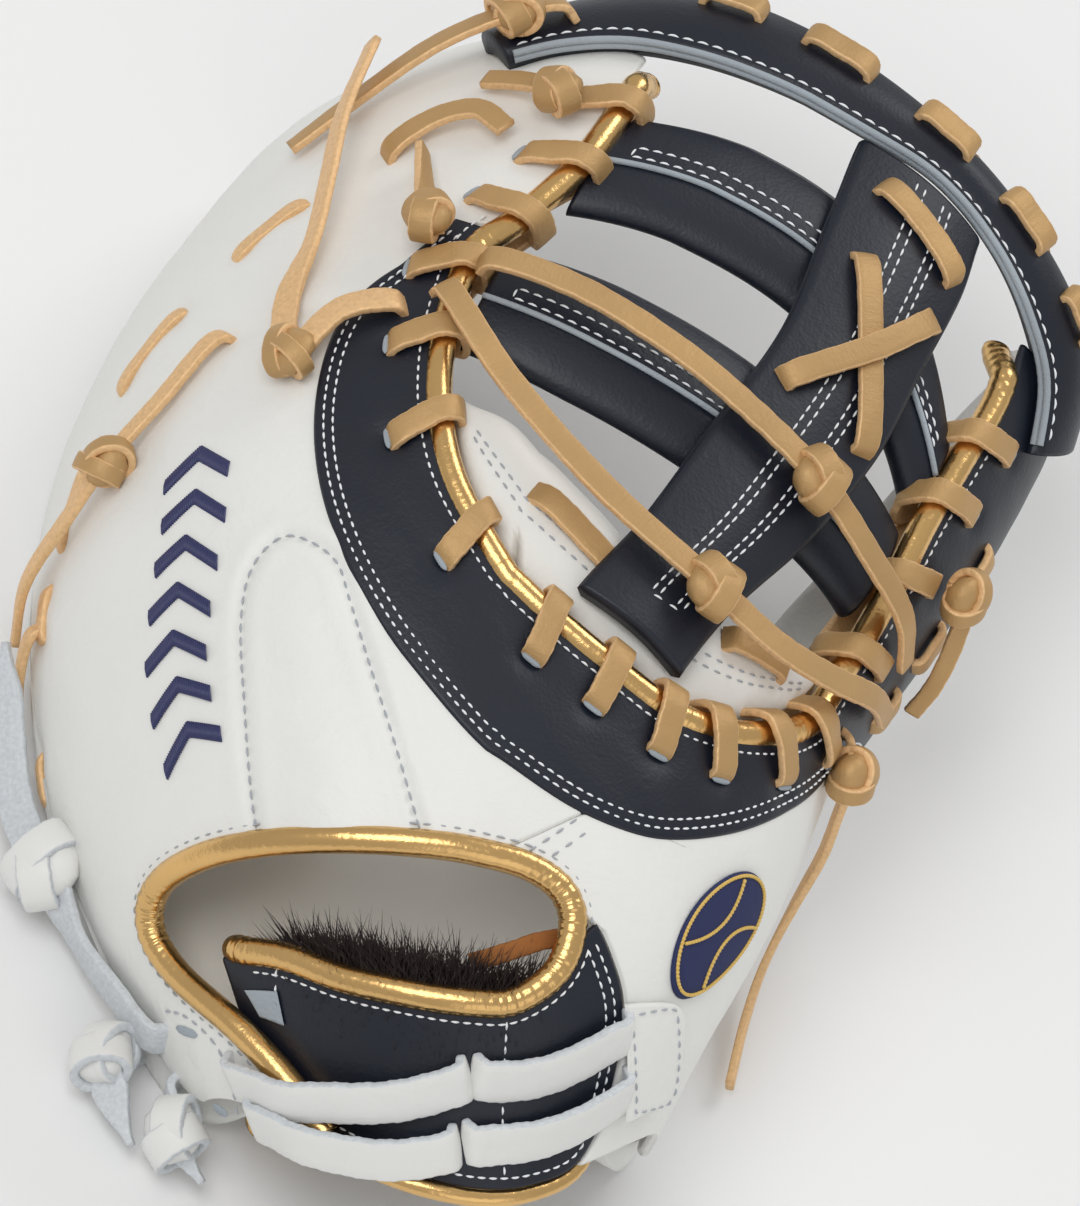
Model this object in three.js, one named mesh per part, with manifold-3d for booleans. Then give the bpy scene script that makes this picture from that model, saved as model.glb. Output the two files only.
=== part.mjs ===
// First baseman mitt for the left hand, lying pocket down on a flat surface.
// Millimetres. +Y runs from the heel to the web, +X to the thumb side, +Z up through the back of the mitt.
// The origin is on the flat underside of the heel.
import * as THREE from 'three';
import { ConvexGeometry } from 'three/addons/geometries/ConvexGeometry.js';
import { mergeVertices } from 'three/addons/utils/BufferGeometryUtils.js';
import Module from 'manifold-3d';

const wasm = await Module();
wasm.setup();

// Overall form
const GLOVE_LENGTH = 320;
const GLOVE_WIDTH = 250;
const GLOVE_HEIGHT = 104;
const FINGER_LEAN = THREE.MathUtils.degToRad(104);
const THUMB_LEAN = THREE.MathUtils.degToRad(112);
const FINGER_FULLNESS = 2.05;
const THUMB_FULLNESS = 2.35;

// Leather, padding and the space for the hand
const BACK_LEATHER = 2.4;
const PALM_PAD = 9;
const CROTCH_PAD = 5;
const RIM_ROLL = 8;
const HAND_ROOM = 26;
const HEEL_TUCK = 14;
const HEEL_REST_Y = 22;

// Trim and laces
const BINDING_RADIUS = 3.4;
const CUFF_BINDING_RADIUS = 3.1;
const LACE_WIDTH = 6.4;
const LACE_THICK = 2;
const LACE_SET_BACK = 12.5;
const STRAP_WIDTH = 10.6;
const STRAP_THICK = 2.2;
const SLOT_LENGTH = 5.8;
const HEEL_TIE_WIDTH = 9;
const FUR_DEEP = 6;

// Web
const BAR_THICK = 10;
const BAR_CLEARANCE = 2.2;
const POST_THICK = 6.6;
const BAND_THICK = 6.6;
const TAB_THICK = 2;
const PATCH_THICK = 1.2;

// Fits
const GAP = 0.3;
const SEAM_CLEAR = 0.8;
const FACET_ROOM = 0.5;

// Sections from the heel to the top of the web. Each one is an arch from the finger rim to the thumb
// rim, as shares of the width (x), the length (y and bow) and the height (crown and the two bellies).
const SECTIONS = [
  { fingerX: -0.211, fingerY: 0.006, thumbX: 0.196, thumbY: 0.012, crown: 0.47, bow: -0.091, fingerBelly: 0.108, thumbBelly: 0.199 },
  { fingerX: -0.29, fingerY: 0.106, thumbX: 0.237, thumbY: 0.082, crown: 0.795, bow: -0.038, fingerBelly: 0.108, thumbBelly: 0.289 },
  { fingerX: -0.353, fingerY: 0.209, thumbX: 0.282, thumbY: 0.153, crown: 0.913, bow: -0.009, fingerBelly: 0.108, thumbBelly: 0.343 },
  { fingerX: -0.387, fingerY: 0.32, thumbX: 0.323, thumbY: 0.229, crown: 0.967, bow: 0.006, fingerBelly: 0.108, thumbBelly: 0.362 },
  { fingerX: -0.395, fingerY: 0.446, thumbX: 0.365, thumbY: 0.317, crown: 0.994, bow: 0.012, fingerBelly: 0.108, thumbBelly: 0.362 },
  { fingerX: -0.361, fingerY: 0.588, thumbX: 0.414, thumbY: 0.382, crown: 1.012, bow: 0.021, fingerBelly: 0.108, thumbBelly: 0.38 },
  { fingerX: -0.278, fingerY: 0.728, thumbX: 0.474, thumbY: 0.458, crown: 1.012, bow: 0.035, fingerBelly: 0.127, thumbBelly: 0.416 },
  { fingerX: -0.158, fingerY: 0.849, thumbX: 0.534, thumbY: 0.546, crown: 0.994, bow: 0.05, fingerBelly: 0.181, thumbBelly: 0.47 },
  { fingerX: 0.03, fingerY: 0.911, thumbX: 0.594, thumbY: 0.652, crown: 0.949, bow: 0.065, fingerBelly: 0.271, thumbBelly: 0.542 },
];

// The horseshoe between the edge of the web opening and the rim that rests on the surface, from the
// finger tip round the heel to the thumb tip. Places are s, the share from heel to web, and t, from
// -1 at the finger rim to 1 at the thumb rim. room is the share of the hand room, sink how far the
// palm has come down to the heel's flat, and seam the place of the outer seam between edge and rim.
const HORSESHOE = [
  { edgeS: 0.905, edgeT: -0.2, rimS: 0.94, rimT: -0.6, room: 0.05, sink: 0, open: 0, seam: 0.86 },
  { edgeS: 0.86, edgeT: -0.165, rimS: 0.93, rimT: -0.79, room: 0.55, sink: 0, open: 0, seam: 0.86 },
  { edgeS: 0.8, edgeT: -0.15, rimS: 0.875, rimT: -0.94, room: 0.85, sink: 0, open: 0, seam: 0.86 },
  { edgeS: 0.739, edgeT: -0.17, rimS: 0.785, rimT: -1, room: 1, sink: 0, open: 0, seam: 0.86 },
  { edgeS: 0.705, edgeT: -0.195, rimS: 0.7, rimT: -1, room: 1, sink: 0, open: 0, seam: 0.86 },
  { edgeS: 0.659, edgeT: -0.183, rimS: 0.64, rimT: -1, room: 1, sink: 0, open: 0, seam: 0.86 },
  { edgeS: 0.609, edgeT: -0.162, rimS: 0.575, rimT: -1, room: 1, sink: 0, open: 0, seam: 0.86 },
  { edgeS: 0.56, edgeT: -0.133, rimS: 0.505, rimT: -1, room: 1, sink: 0, open: 0, seam: 0.86 },
  { edgeS: 0.512, edgeT: -0.092, rimS: 0.43, rimT: -1, room: 1, sink: 0, open: 0, seam: 0.87 },
  { edgeS: 0.464, edgeT: -0.03, rimS: 0.32, rimT: -1, room: 1, sink: 0.1, open: 0, seam: 0.88 },
  { edgeS: 0.43, edgeT: 0.022, rimS: 0.2, rimT: -1, room: 1, sink: 0.3, open: 0, seam: 0.89 },
  { edgeS: 0.408, edgeT: 0.08, rimS: 0.06, rimT: -1, room: 1, sink: 0.7, open: 0, seam: 0.91 },
  { edgeS: 0.396, edgeT: 0.125, rimS: 0.002, rimT: -0.86, room: 1, sink: 1, open: 0.35, seam: 0.95 },
  { edgeS: 0.387, edgeT: 0.165, rimS: 0.002, rimT: -0.45, room: 1, sink: 1, open: 1, seam: 0.95 },
  { edgeS: 0.38, edgeT: 0.205, rimS: 0.002, rimT: 0.03, room: 1, sink: 1, open: 1, seam: 0.95 },
  { edgeS: 0.378, edgeT: 0.25, rimS: 0.002, rimT: 0.48, room: 1, sink: 1, open: 1, seam: 0.95 },
  { edgeS: 0.383, edgeT: 0.3, rimS: 0.004, rimT: 0.86, room: 1, sink: 1, open: 0.35, seam: 0.95 },
  { edgeS: 0.395, edgeT: 0.36, rimS: 0.07, rimT: 1, room: 1, sink: 0.7, open: 0, seam: 0.91 },
  { edgeS: 0.42, edgeT: 0.435, rimS: 0.2, rimT: 1, room: 1, sink: 0.3, open: 0, seam: 0.88 },
  { edgeS: 0.445, edgeT: 0.49, rimS: 0.3, rimT: 1, room: 0.95, sink: 0.1, open: 0, seam: 0.86 },
  { edgeS: 0.483, edgeT: 0.53, rimS: 0.38, rimT: 1, room: 0.9, sink: 0, open: 0, seam: 0.84 },
  { edgeS: 0.573, edgeT: 0.536, rimS: 0.52, rimT: 1, room: 0.85, sink: 0, open: 0, seam: 0.83 },
  { edgeS: 0.656, edgeT: 0.522, rimS: 0.64, rimT: 1, room: 0.8, sink: 0, open: 0, seam: 0.83 },
  { edgeS: 0.734, edgeT: 0.494, rimS: 0.755, rimT: 1, room: 0.7, sink: 0, open: 0, seam: 0.83 },
  { edgeS: 0.804, edgeT: 0.483, rimS: 0.85, rimT: 0.96, room: 0.6, sink: 0, open: 0, seam: 0.83 },
  { edgeS: 0.872, edgeT: 0.473, rimS: 0.915, rimT: 0.86, room: 0.4, sink: 0, open: 0, seam: 0.83 },
  { edgeS: 0.92, edgeT: 0.435, rimS: 0.94, rimT: 0.7, room: 0.05, sink: 0, open: 0, seam: 0.83 },
];

// The outer edge of the crotch panel, from its tip between the fingers and the web round to the thumb
// tip. station is the place on the horseshoe that each row lies across from. fingerSeam and thumbSeam
// are the places on the outer seam that the back panels reach from it.
const CROTCH_OUTER = [
  { s: 0.722, t: -0.24, station: 3.6, fingerSeam: 3.6, thumbSeam: 17 },
  { s: 0.69, t: -0.262, station: 4.6, fingerSeam: 4.5, thumbSeam: 17 },
  { s: 0.635, t: -0.308, station: 5.6, fingerSeam: 5.4, thumbSeam: 17 },
  { s: 0.56, t: -0.3, station: 6.8, fingerSeam: 6.4, thumbSeam: 17 },
  { s: 0.48, t: -0.258, station: 8, fingerSeam: 7.3, thumbSeam: 17 },
  { s: 0.4, t: -0.19, station: 9, fingerSeam: 8.1, thumbSeam: 17 },
  { s: 0.338, t: -0.105, station: 10, fingerSeam: 8.7, thumbSeam: 17.5 },
  { s: 0.283, t: 0.005, station: 11.3, fingerSeam: 9.3, thumbSeam: 18 },
  { s: 0.254, t: 0.13, station: 13.3, fingerSeam: 9.75, thumbSeam: 18.4 },
  { s: 0.258, t: 0.27, station: 15.6, fingerSeam: 10, thumbSeam: 19 },
  { s: 0.306, t: 0.423, station: 17.6, fingerSeam: 10, thumbSeam: 20.1 },
  { s: 0.395, t: 0.575, station: 19.2, fingerSeam: 10, thumbSeam: 20.8 },
  { s: 0.5, t: 0.72, station: 20.4, fingerSeam: 10, thumbSeam: 21.2 },
  { s: 0.6, t: 0.91, station: 21.5, fingerSeam: 10, thumbSeam: 21.7 },
  { s: 0.7, t: 0.912, station: 22.7, fingerSeam: 10, thumbSeam: 22.7 },
  { s: 0.8, t: 0.89, station: 24, fingerSeam: 10, thumbSeam: 24 },
  { s: 0.88, t: 0.904, station: 25.2, fingerSeam: 10, thumbSeam: 25.2 },
  { s: 0.93, t: 0.89, station: 26, fingerSeam: 10, thumbSeam: 26 },
];
const BACK_SEAM_ROW = 8;
const SEAM_HALF = 0.02;
const THUMB_SIDE_ROW = 12.9;

// The bound edge of the hand opening, from the foot of the flap up its side, over the top and back
// along the wrist strap. onStrap is 1 where it lies on the strap. fingerSeam and thumbSeam are the
// places on the outer seam that the back panels reach from it.
const CUFF_EDGE = [
  { s: 0.012, t: -0.36, onStrap: 0, fingerSeam: 11.95, thumbSeam: 18.3 },
  { s: 0.034, t: -0.435, onStrap: 0, fingerSeam: 11.6, thumbSeam: 18.3 },
  { s: 0.062, t: -0.537, onStrap: 0, fingerSeam: 11.25, thumbSeam: 18.3 },
  { s: 0.093, t: -0.636, onStrap: 0, fingerSeam: 11, thumbSeam: 18.3 },
  { s: 0.12, t: -0.69, onStrap: 0, fingerSeam: 10.85, thumbSeam: 18.3 },
  { s: 0.151, t: -0.712, onStrap: 0, fingerSeam: 10.6, thumbSeam: 18.3 },
  { s: 0.175, t: -0.685, onStrap: 0, fingerSeam: 10.45, thumbSeam: 18.3 },
  { s: 0.189, t: -0.62, onStrap: 0, fingerSeam: 10.35, thumbSeam: 18.3 },
  { s: 0.195, t: -0.517, onStrap: 0, fingerSeam: 10.3, thumbSeam: 18.3 },
  { s: 0.197, t: -0.39, onStrap: 0, fingerSeam: 10.25, thumbSeam: 18.3 },
  { s: 0.198, t: -0.26, onStrap: 0, fingerSeam: 10.2, thumbSeam: 18.3 },
  { s: 0.2, t: -0.139, onStrap: 0, fingerSeam: 10.15, thumbSeam: 18.3 },
  { s: 0.202, t: -0.021, onStrap: 0, fingerSeam: 10.05, thumbSeam: 18.3 },
  { s: 0.199, t: 0.056, onStrap: 0, fingerSeam: 10.05, thumbSeam: 18.2 },
  { s: 0.185, t: 0.112, onStrap: 0, fingerSeam: 10.05, thumbSeam: 18.05 },
  { s: 0.16, t: 0.137, onStrap: 0.3, fingerSeam: 10.05, thumbSeam: 17.9 },
  { s: 0.127, t: 0.122, onStrap: 1, fingerSeam: 10.05, thumbSeam: 17.8 },
  { s: 0.105, t: 0.059, onStrap: 1, fingerSeam: 10.05, thumbSeam: 17.8 },
  { s: 0.099, t: -0.013, onStrap: 1, fingerSeam: 10.05, thumbSeam: 17.8 },
  { s: 0.098, t: -0.152, onStrap: 1, fingerSeam: 10.05, thumbSeam: 17.8 },
  { s: 0.101, t: -0.296, onStrap: 1, fingerSeam: 10.05, thumbSeam: 17.8 },
  { s: 0.112, t: -0.422, onStrap: 1, fingerSeam: 10.05, thumbSeam: 17.8 },
  { s: 0.117, t: -0.5, onStrap: 1, fingerSeam: 10.05, thumbSeam: 17.8 },
];
const CUFF_SEAM_ROW = 12.5;
const CUFF_RIGHT_ROW = 15;

// The outer edge of the wrist strap, from under the flap along its foot and up its stitched end.
const STRAP_OUTER = [
  { s: 0.012, t: -0.52, seam: 16 },
  { s: 0.008, t: -0.36, seam: 16 },
  { s: 0.006, t: -0.2, seam: 16 },
  { s: 0.005, t: -0.04, seam: 16 },
  { s: 0.005, t: 0.12, seam: 16 },
  { s: 0.012, t: 0.25, seam: 16.05 },
  { s: 0.04, t: 0.3, seam: 16.4 },
  { s: 0.08, t: 0.3, seam: 16.8 },
  { s: 0.114, t: 0.273, seam: 17.15 },
  { s: 0.142, t: 0.225, seam: 17.5 },
  { s: 0.166, t: 0.18, seam: 17.75 },
];
const STRAP_END_ROW = 5;

// Bars of the web: places on the horseshoe edge where the top and the bottom edge of each bar start
// and end, and how far the middle of each edge bows towards the top of the web.
const BARS = [
  { name: 'web_bar_upper', leftTop: 0.95, rightTop: 24.2, bowTop: 0.05, leftLow: 2.45, rightLow: 23.1, bowLow: 0.034 },
  { name: 'web_bar_middle', leftTop: 3.25, rightTop: 22.8, bowTop: 0.01, leftLow: 5.5, rightLow: 21.35, bowLow: -0.004 },
];
// The white bar fills the foot of the opening, and its lower edge follows the bound edge.
const FOOT_BAR_TOP = [
  { s: 0.59, t: -0.115 },
  { s: 0.585, t: -0.04 },
  { s: 0.545, t: 0.06 },
  { s: 0.505, t: 0.17 },
  { s: 0.495, t: 0.3 },
  { s: 0.505, t: 0.41 },
  { s: 0.52, t: 0.49 },
];
const FOOT_BAR_FROM = 6.7;
const FOOT_BAR_TO = 20.2;

// Rails of the web post, from the top band down to the foot of the opening.
const POST = [
  { leftS: 0.926, leftT: 0.06, rightS: 0.934, rightT: 0.27 },
  { leftS: 0.86, leftT: 0.1, rightS: 0.885, rightT: 0.305 },
  { leftS: 0.754, leftT: 0.14, rightS: 0.81, rightT: 0.325 },
  { leftS: 0.64, leftT: 0.135, rightS: 0.71, rightT: 0.345 },
  { leftS: 0.534, leftT: 0.113, rightS: 0.58, rightT: 0.32 },
  { leftS: 0.45, leftT: 0.065, rightS: 0.408, rightT: 0.222 },
];

// Rails of the top band, from the finger tip over the web to the thumb tip.
const BAND = [
  { innerS: 0.862, innerT: -0.335, outerS: 0.89, outerT: -0.43 },
  { innerS: 0.883, innerT: -0.29, outerS: 0.945, outerT: -0.44 },
  { innerS: 0.9, innerT: -0.23, outerS: 0.985, outerT: -0.4 },
  { innerS: 0.91, innerT: -0.15, outerS: 0.99, outerT: -0.27 },
  { innerS: 0.918, innerT: -0.06, outerS: 0.985, outerT: -0.12 },
  { innerS: 0.928, innerT: 0.05, outerS: 0.982, outerT: 0.03 },
  { innerS: 0.94, innerT: 0.16, outerS: 0.982, outerT: 0.16 },
  { innerS: 0.938, innerT: 0.29, outerS: 0.982, outerT: 0.32 },
  { innerS: 0.928, innerT: 0.41, outerS: 0.984, outerT: 0.47 },
  { innerS: 0.912, innerT: 0.52, outerS: 0.984, outerT: 0.62 },
  { innerS: 0.875, innerT: 0.6, outerS: 0.955, outerT: 0.76 },
];

// Places on the horseshoe edge where the lace loops over the binding, and how far each loop slants.
const LOOPS = [1.1, 2.05, 2.95, 4.3, 5.5, 6.9, 8.6, 10.3, 12, 14.2, 16, 17.7, 19.5, 20.9, 22.15, 23.3, 24.3];
const LOOP_SLANT = 0.3;

// Running stitches of the finger side lace: places on the back where each one comes up and goes down.
const FINGER_LACE = [
  { s: 0.8, t: -0.43 },
  { s: 0.731, t: -0.495 },
  { s: 0.699, t: -0.548 },
  { s: 0.658, t: -0.603 },
  { s: 0.613, t: -0.677 },
  { s: 0.575, t: -0.702 },
  { s: 0.508, t: -0.75 },
  { s: 0.46, t: -0.775 },
  { s: 0.405, t: -0.8 },
  { s: 0.36, t: -0.805 },
];
const THUMB_LACE = [
  { s: 0.8, t: 0.7 },
  { s: 0.755, t: 0.715 },
  { s: 0.71, t: 0.725 },
  { s: 0.665, t: 0.735 },
  { s: 0.62, t: 0.74 },
  { s: 0.575, t: 0.745 },
];
// Stitches of the top band lace, as shares along the band.
const BAND_STITCHES = [0.3, 0.36, 0.42, 0.48, 0.54, 0.6, 0.66, 0.72, 0.79, 0.85];
const BAND_STITCH_ACROSS = 0.74;

// White lacing straps over the wrist strap: places and heights above the back.
const STRAPS = [
  {
    name: 'lacing_strap_upper',
    run: [
      { s: 0.047, t: -0.6, lift: 0.6 },
      { s: 0.055, t: -0.51, lift: 2.4 },
      { s: 0.062, t: -0.4, lift: 0.8 },
      { s: 0.066, t: -0.2, lift: -0.6 },
      { s: 0.07, t: -0.02, lift: -0.2 },
      { s: 0.083, t: 0.14, lift: 0.6 },
      { s: 0.096, t: 0.265, lift: 0.6 },
    ],
  },
  {
    name: 'lacing_strap_lower',
    run: [
      { s: 0.012, t: -0.55, lift: 0.6 },
      { s: 0.019, t: -0.46, lift: 2.4 },
      { s: 0.025, t: -0.385, lift: 2.4 },
      { s: 0.03, t: -0.3, lift: 0.8 },
      { s: 0.033, t: -0.1, lift: -0.4 },
      { s: 0.036, t: 0.06, lift: 0.2 },
      { s: 0.046, t: 0.2, lift: 0.6 },
      { s: 0.06, t: 0.31, lift: 0.6 },
    ],
  },
];
const STRAP_TAB = [
  { leftS: 0.116, leftT: 0.3, rightS: 0.124, rightT: 0.44 },
  { leftS: 0.036, leftT: 0.37, rightS: 0.05, rightT: 0.56 },
];
const PATCH_PLACE = { s: 0.2, t: 0.457, halfLength: 19, halfWidth: 9, turn: 0.62 };

// Knotted ends of the laces. Each row is a place along one, on the back (s, t and the lift above it) or,
// for an end that hangs clear, beside the mitt (x, y, z and the side that its face looks to).
const TIES = [
  {
    name: 'tie_upper', knotAt: 4, knot: [15, 12, 9],
    run: [
      { s: 0.685, t: -0.155, lift: 7.2 },
      { s: 0.69, t: -0.05, lift: 5.4 },
      { s: 0.68, t: 0.06, lift: 6.4 },
      { s: 0.665, t: 0.16, lift: 8 },
      { s: 0.645, t: 0.273, lift: 10.8 },
      { s: 0.628, t: 0.4, lift: 9 },
      { s: 0.62, t: 0.52, lift: 8.2 },
      { s: 0.614, t: 0.63, lift: 4.2 },
    ],
  },
  {
    name: 'tie_lower', knotAt: 3, knot: [15, 12, 9],
    run: [
      { s: 0.654, t: -0.185, lift: 7.4 },
      { s: 0.6, t: -0.07, lift: 5.2 },
      { s: 0.535, t: 0.06, lift: 7 },
      { s: 0.484, t: 0.21, lift: 11 },
      { s: 0.47, t: 0.33, lift: 9.4 },
      { s: 0.485, t: 0.45, lift: 8.4 },
      { s: 0.52, t: 0.56, lift: 8.2 },
      { s: 0.564, t: 0.69, lift: 4.2 },
    ],
  },
  {
    name: 'tip_tie', knotAt: 1, knot: [14, 11, 8],
    run: [
      { s: 0.905, t: -0.33, lift: 10.5 },
      { s: 0.884, t: -0.355, lift: 12 },
      { s: 0.855, t: -0.42, lift: 9.4 },
      { s: 0.82, t: -0.5, lift: 4.4 },
      { s: 0.785, t: -0.565, lift: 3 },
    ],
  },
  {
    name: 'tip_loop', knotAt: -1, knot: [0, 0, 0],
    run: [
      { s: 0.775, t: -0.39, lift: 1.8 },
      { s: 0.798, t: -0.35, lift: 4.2 },
      { s: 0.806, t: -0.3, lift: 5.4 },
      { s: 0.795, t: -0.25, lift: 5.2 },
    ],
  },
  {
    name: 'tip_short_tie', knotAt: 0, knot: [12, 10, 8],
    run: [
      { s: 0.828, t: -0.215, lift: 8.6 },
      { s: 0.838, t: -0.28, lift: 5 },
      { s: 0.842, t: -0.34, lift: 2.6 },
    ],
  },
  {
    name: 'tip_upright_tie', knotAt: 0, knot: [12, 10, 8],
    run: [
      { s: 0.703, t: -0.25, lift: 8.2, roll: 0 },
      { s: 0.735, t: -0.29, lift: 6.2, roll: 60 },
      { s: 0.766, t: -0.328, lift: 5.4, roll: 80 },
    ],
  },
  {
    name: 'finger_tie', knotAt: 2, knot: [14, 12, 8],
    run: [
      { s: 0.643, t: -0.246, lift: 3.6 },
      { s: 0.628, t: -0.3, lift: 5.4 },
      { s: 0.592, t: -0.345, lift: 5.2 },
      { s: 0.64, t: -0.39, lift: 2.6 },
      { x: -49.7, y: 181.5, z: 87, face: 180 },
      { x: -45.9, y: 200.1, z: 86, face: 180 },
      { x: -42.2, y: 218.8, z: 84, face: 180 },
      { x: -33.5, y: 243.9, z: 79, face: 180 },
    ],
  },
  {
    name: 'side_tie', knotAt: 2, knot: [14, 12, 9],
    run: [
      { s: 0.617, t: -0.479, lift: 2 },
      { s: 0.57, t: -0.54, lift: 3.4 },
      { s: 0.532, t: -0.607, lift: 5.4 },
      { s: 0.505, t: -0.68, lift: 5 },
      { s: 0.482, t: -0.8, lift: 5 },
      { s: 0.46, t: -0.9, lift: 3.4 },
    ],
  },
  {
    name: 'side_tail', knotAt: -1, knot: [0, 0, 0],
    run: [
      { s: 0.45, t: -0.825, lift: 1.8 },
      { s: 0.425, t: -0.88, lift: 3 },
      { s: 0.4, t: -0.94, lift: 3 },
    ],
  },
  {
    name: 'thumb_tie', knotAt: 1, knot: [13, 11, 9],
    run: [
      { s: 0.49, t: 0.63, lift: 2.2 },
      { s: 0.455, t: 0.645, lift: 5.6 },
      { x: 89, y: 65.5, z: 49, face: 0 },
      { x: 89.6, y: 63, z: 34, face: 0 },
      { x: 86.6, y: 56.3, z: 20, face: 0 },
      { x: 82, y: 45, z: 10, face: 0 },
      { x: 78.5, y: 32, z: 5.4, face: 0 },
      { x: 74.6, y: 14, z: 4.4, face: 0 },
    ],
  },
  {
    name: 'thumb_side_tie', knotAt: 0, knot: [13, 11, 8],
    run: [
      { s: 0.71, t: 0.61, lift: 8.6, roll: 0 },
      { s: 0.69, t: 0.68, lift: 7.6, roll: 50 },
      { s: 0.665, t: 0.76, lift: 6.6, roll: 70 },
      { s: 0.645, t: 0.8, lift: 5.4, roll: 70 },
    ],
  },
];
// The white knots beside the heel
const HEEL_TIES = [
  {
    name: 'heel_side_tie', knotAt: 3, knot: [20, 15, 10],
    run: [
      { s: 0.09, t: -0.83, lift: 2.4 },
      { s: 0.135, t: -0.86, lift: 3 },
      { s: 0.19, t: -0.9, lift: 3.6 },
      { x: -95, y: 44, z: 13, face: 180 },
      { x: -101, y: 62, z: 9, face: 180 },
      { x: -104.5, y: 82, z: 12, face: 180 },
      { x: -106.6, y: 101, z: 18, face: 180 },
    ],
  },
  {
    name: 'heel_outer_tie', knotAt: 1, knot: [15, 14, 10],
    run: [
      { s: 0.105, t: -0.96, lift: 2.8 },
      { x: -79, y: -1, z: 9.5, face: 200 },
      { x: -76, y: -11, z: 7, face: 215 },
      { x: -72, y: -19, z: 6.4, face: 230 },
    ],
  },
  {
    name: 'heel_inner_tie', knotAt: 1, knot: [15, 14, 10],
    run: [
      { s: 0.05, t: -0.9, lift: 2.6 },
      { x: -62, y: -19, z: 9, face: 230 },
      { x: -58, y: -25, z: 7, face: 240 },
      { x: -54, y: -30, z: 6.4, face: 240 },
    ],
  },
];
// Short laces that hold the post to the bars
const POST_LACES = [
  { name: 'post_cross_down', run: [{ s: 0.838, t: 0.168, lift: 6.2 }, { s: 0.778, t: 0.24, lift: 6.9 }, { s: 0.713, t: 0.309, lift: 6.2 }] },
  { name: 'post_cross_up', run: [{ s: 0.716, t: 0.18, lift: 6 }, { s: 0.778, t: 0.24, lift: 9.4 }, { s: 0.84, t: 0.283, lift: 6.6 }] },
  { name: 'post_tip_lace', run: [{ s: 0.9, t: 0.13, lift: 6 }, { s: 0.895, t: 0.2, lift: 6.8 }, { s: 0.887, t: 0.265, lift: 6.2 }] },
  { name: 'foot_bar_lace', run: [{ s: 0.474, t: 0.3, lift: 0 }, { s: 0.478, t: 0.35, lift: 0.3 }, { s: 0.48, t: 0.4, lift: 0 }] },
];

const WHITE = new THREE.MeshStandardMaterial({ color: 0xe2e2de, roughness: 0.55 });
const NAVY = new THREE.MeshStandardMaterial({ color: 0x1b2333, roughness: 0.5 });
const FOIL = new THREE.MeshStandardMaterial({ color: 0xd9a85a, roughness: 0.3, metalness: 0.8 });
const RAWHIDE = new THREE.MeshStandardMaterial({ color: 0xc99f62, roughness: 0.65 });
const PALM_WHITE = new THREE.MeshStandardMaterial({ color: 0xdcdcd8, roughness: 0.6 });
const FUR = new THREE.MeshStandardMaterial({ color: 0x241b1a, roughness: 0.95 });
const PATCH = new THREE.MeshStandardMaterial({ color: 0x2a3260, roughness: 0.8 });

const { clamp, lerp, smoothstep } = THREE.MathUtils;

function valueAt(table, column, place) {
  // Catmull-Rom through one column of a table, at a fractional row
  const last = table.length - 1;
  const row = Math.min(Math.floor(clamp(place, 0, last)), last - 1);
  const f = clamp(place, 0, last) - row;
  const b = table[row][column];
  const c = table[row + 1][column];
  const a = row > 0 ? table[row - 1][column] : 2 * b - c;
  const d = row + 2 <= last ? table[row + 2][column] : 2 * c - b;
  return b + 0.5 * f * (c - a + f * (2 * a - 5 * b + 4 * c - d + f * (3 * (b - c) + d - a)));
}

function backPoint(s, t) {
  // One arch of the back: a superellipse above the belly, curling in below it to the rim
  const row = clamp(s, 0, 1) * (SECTIONS.length - 1);
  const at = (column) => valueAt(SECTIONS, column, row);
  const lean = t < 0 ? FINGER_LEAN : THUMB_LEAN;
  const fullness = t < 0 ? FINGER_FULLNESS : THUMB_FULLNESS;
  const belly = GLOVE_HEIGHT * at(t < 0 ? 'fingerBelly' : 'thumbBelly');
  const across = Math.sin(t * lean);
  const rise = Math.cos(t * lean);
  const u = Math.sign(across) * Math.abs(across) ** (2 / fullness);
  const arch = belly + (GLOVE_HEIGHT * at('crown') - belly) * Math.max(rise, 0) ** (2 / fullness);
  const z = rise > 0 ? arch : belly + (belly * rise) / Math.abs(Math.cos(lean));
  const finger = new THREE.Vector3(GLOVE_WIDTH * at('fingerX'), GLOVE_LENGTH * at('fingerY'), 0);
  const thumb = new THREE.Vector3(GLOVE_WIDTH * at('thumbX'), GLOVE_LENGTH * at('thumbY'), 0);
  const chord = thumb.clone().sub(finger);
  const ahead = new THREE.Vector3(-chord.y, chord.x, 0).normalize();
  const point = finger.addScaledVector(chord, (1 + u) / 2);
  point.addScaledVector(ahead, GLOVE_LENGTH * at('bow') * (1 - u * u));
  point.z = z;
  return point;
}

function backFrame(s, t) {
  // The point, the two slopes and the outward normal of the back at a place
  const e = 0.002;
  const s0 = clamp(s, e, 1 - e);
  const t0 = clamp(t, e - 1, 1 - e);
  const alongS = backPoint(s0 + e, t0).sub(backPoint(s0 - e, t0)).divideScalar(2 * e);
  const alongT = backPoint(s0, t0 + e).sub(backPoint(s0, t0 - e)).divideScalar(2 * e);
  const normal = alongT.clone().cross(alongS).normalize();
  return { point: backPoint(s, t), alongS, alongT, normal };
}

function skin(s, t, depth) {
  const { point, normal } = backFrame(s, t);
  return point.addScaledVector(normal, -depth);
}

function path(table, sName, tName, from, to, count) {
  // A smooth path through two columns of a table
  const list = [];
  for (let i = 0; i < count; i += 1) {
    const row = lerp(from, to, i / (count - 1));
    list.push({ s: valueAt(table, sName, row), t: valueAt(table, tName, row) });
  }
  return list;
}

function rowsOf(table, rows) {
  return rows.map((row) => ({ s: valueAt(table, 's', row), t: valueAt(table, 't', row) }));
}

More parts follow.
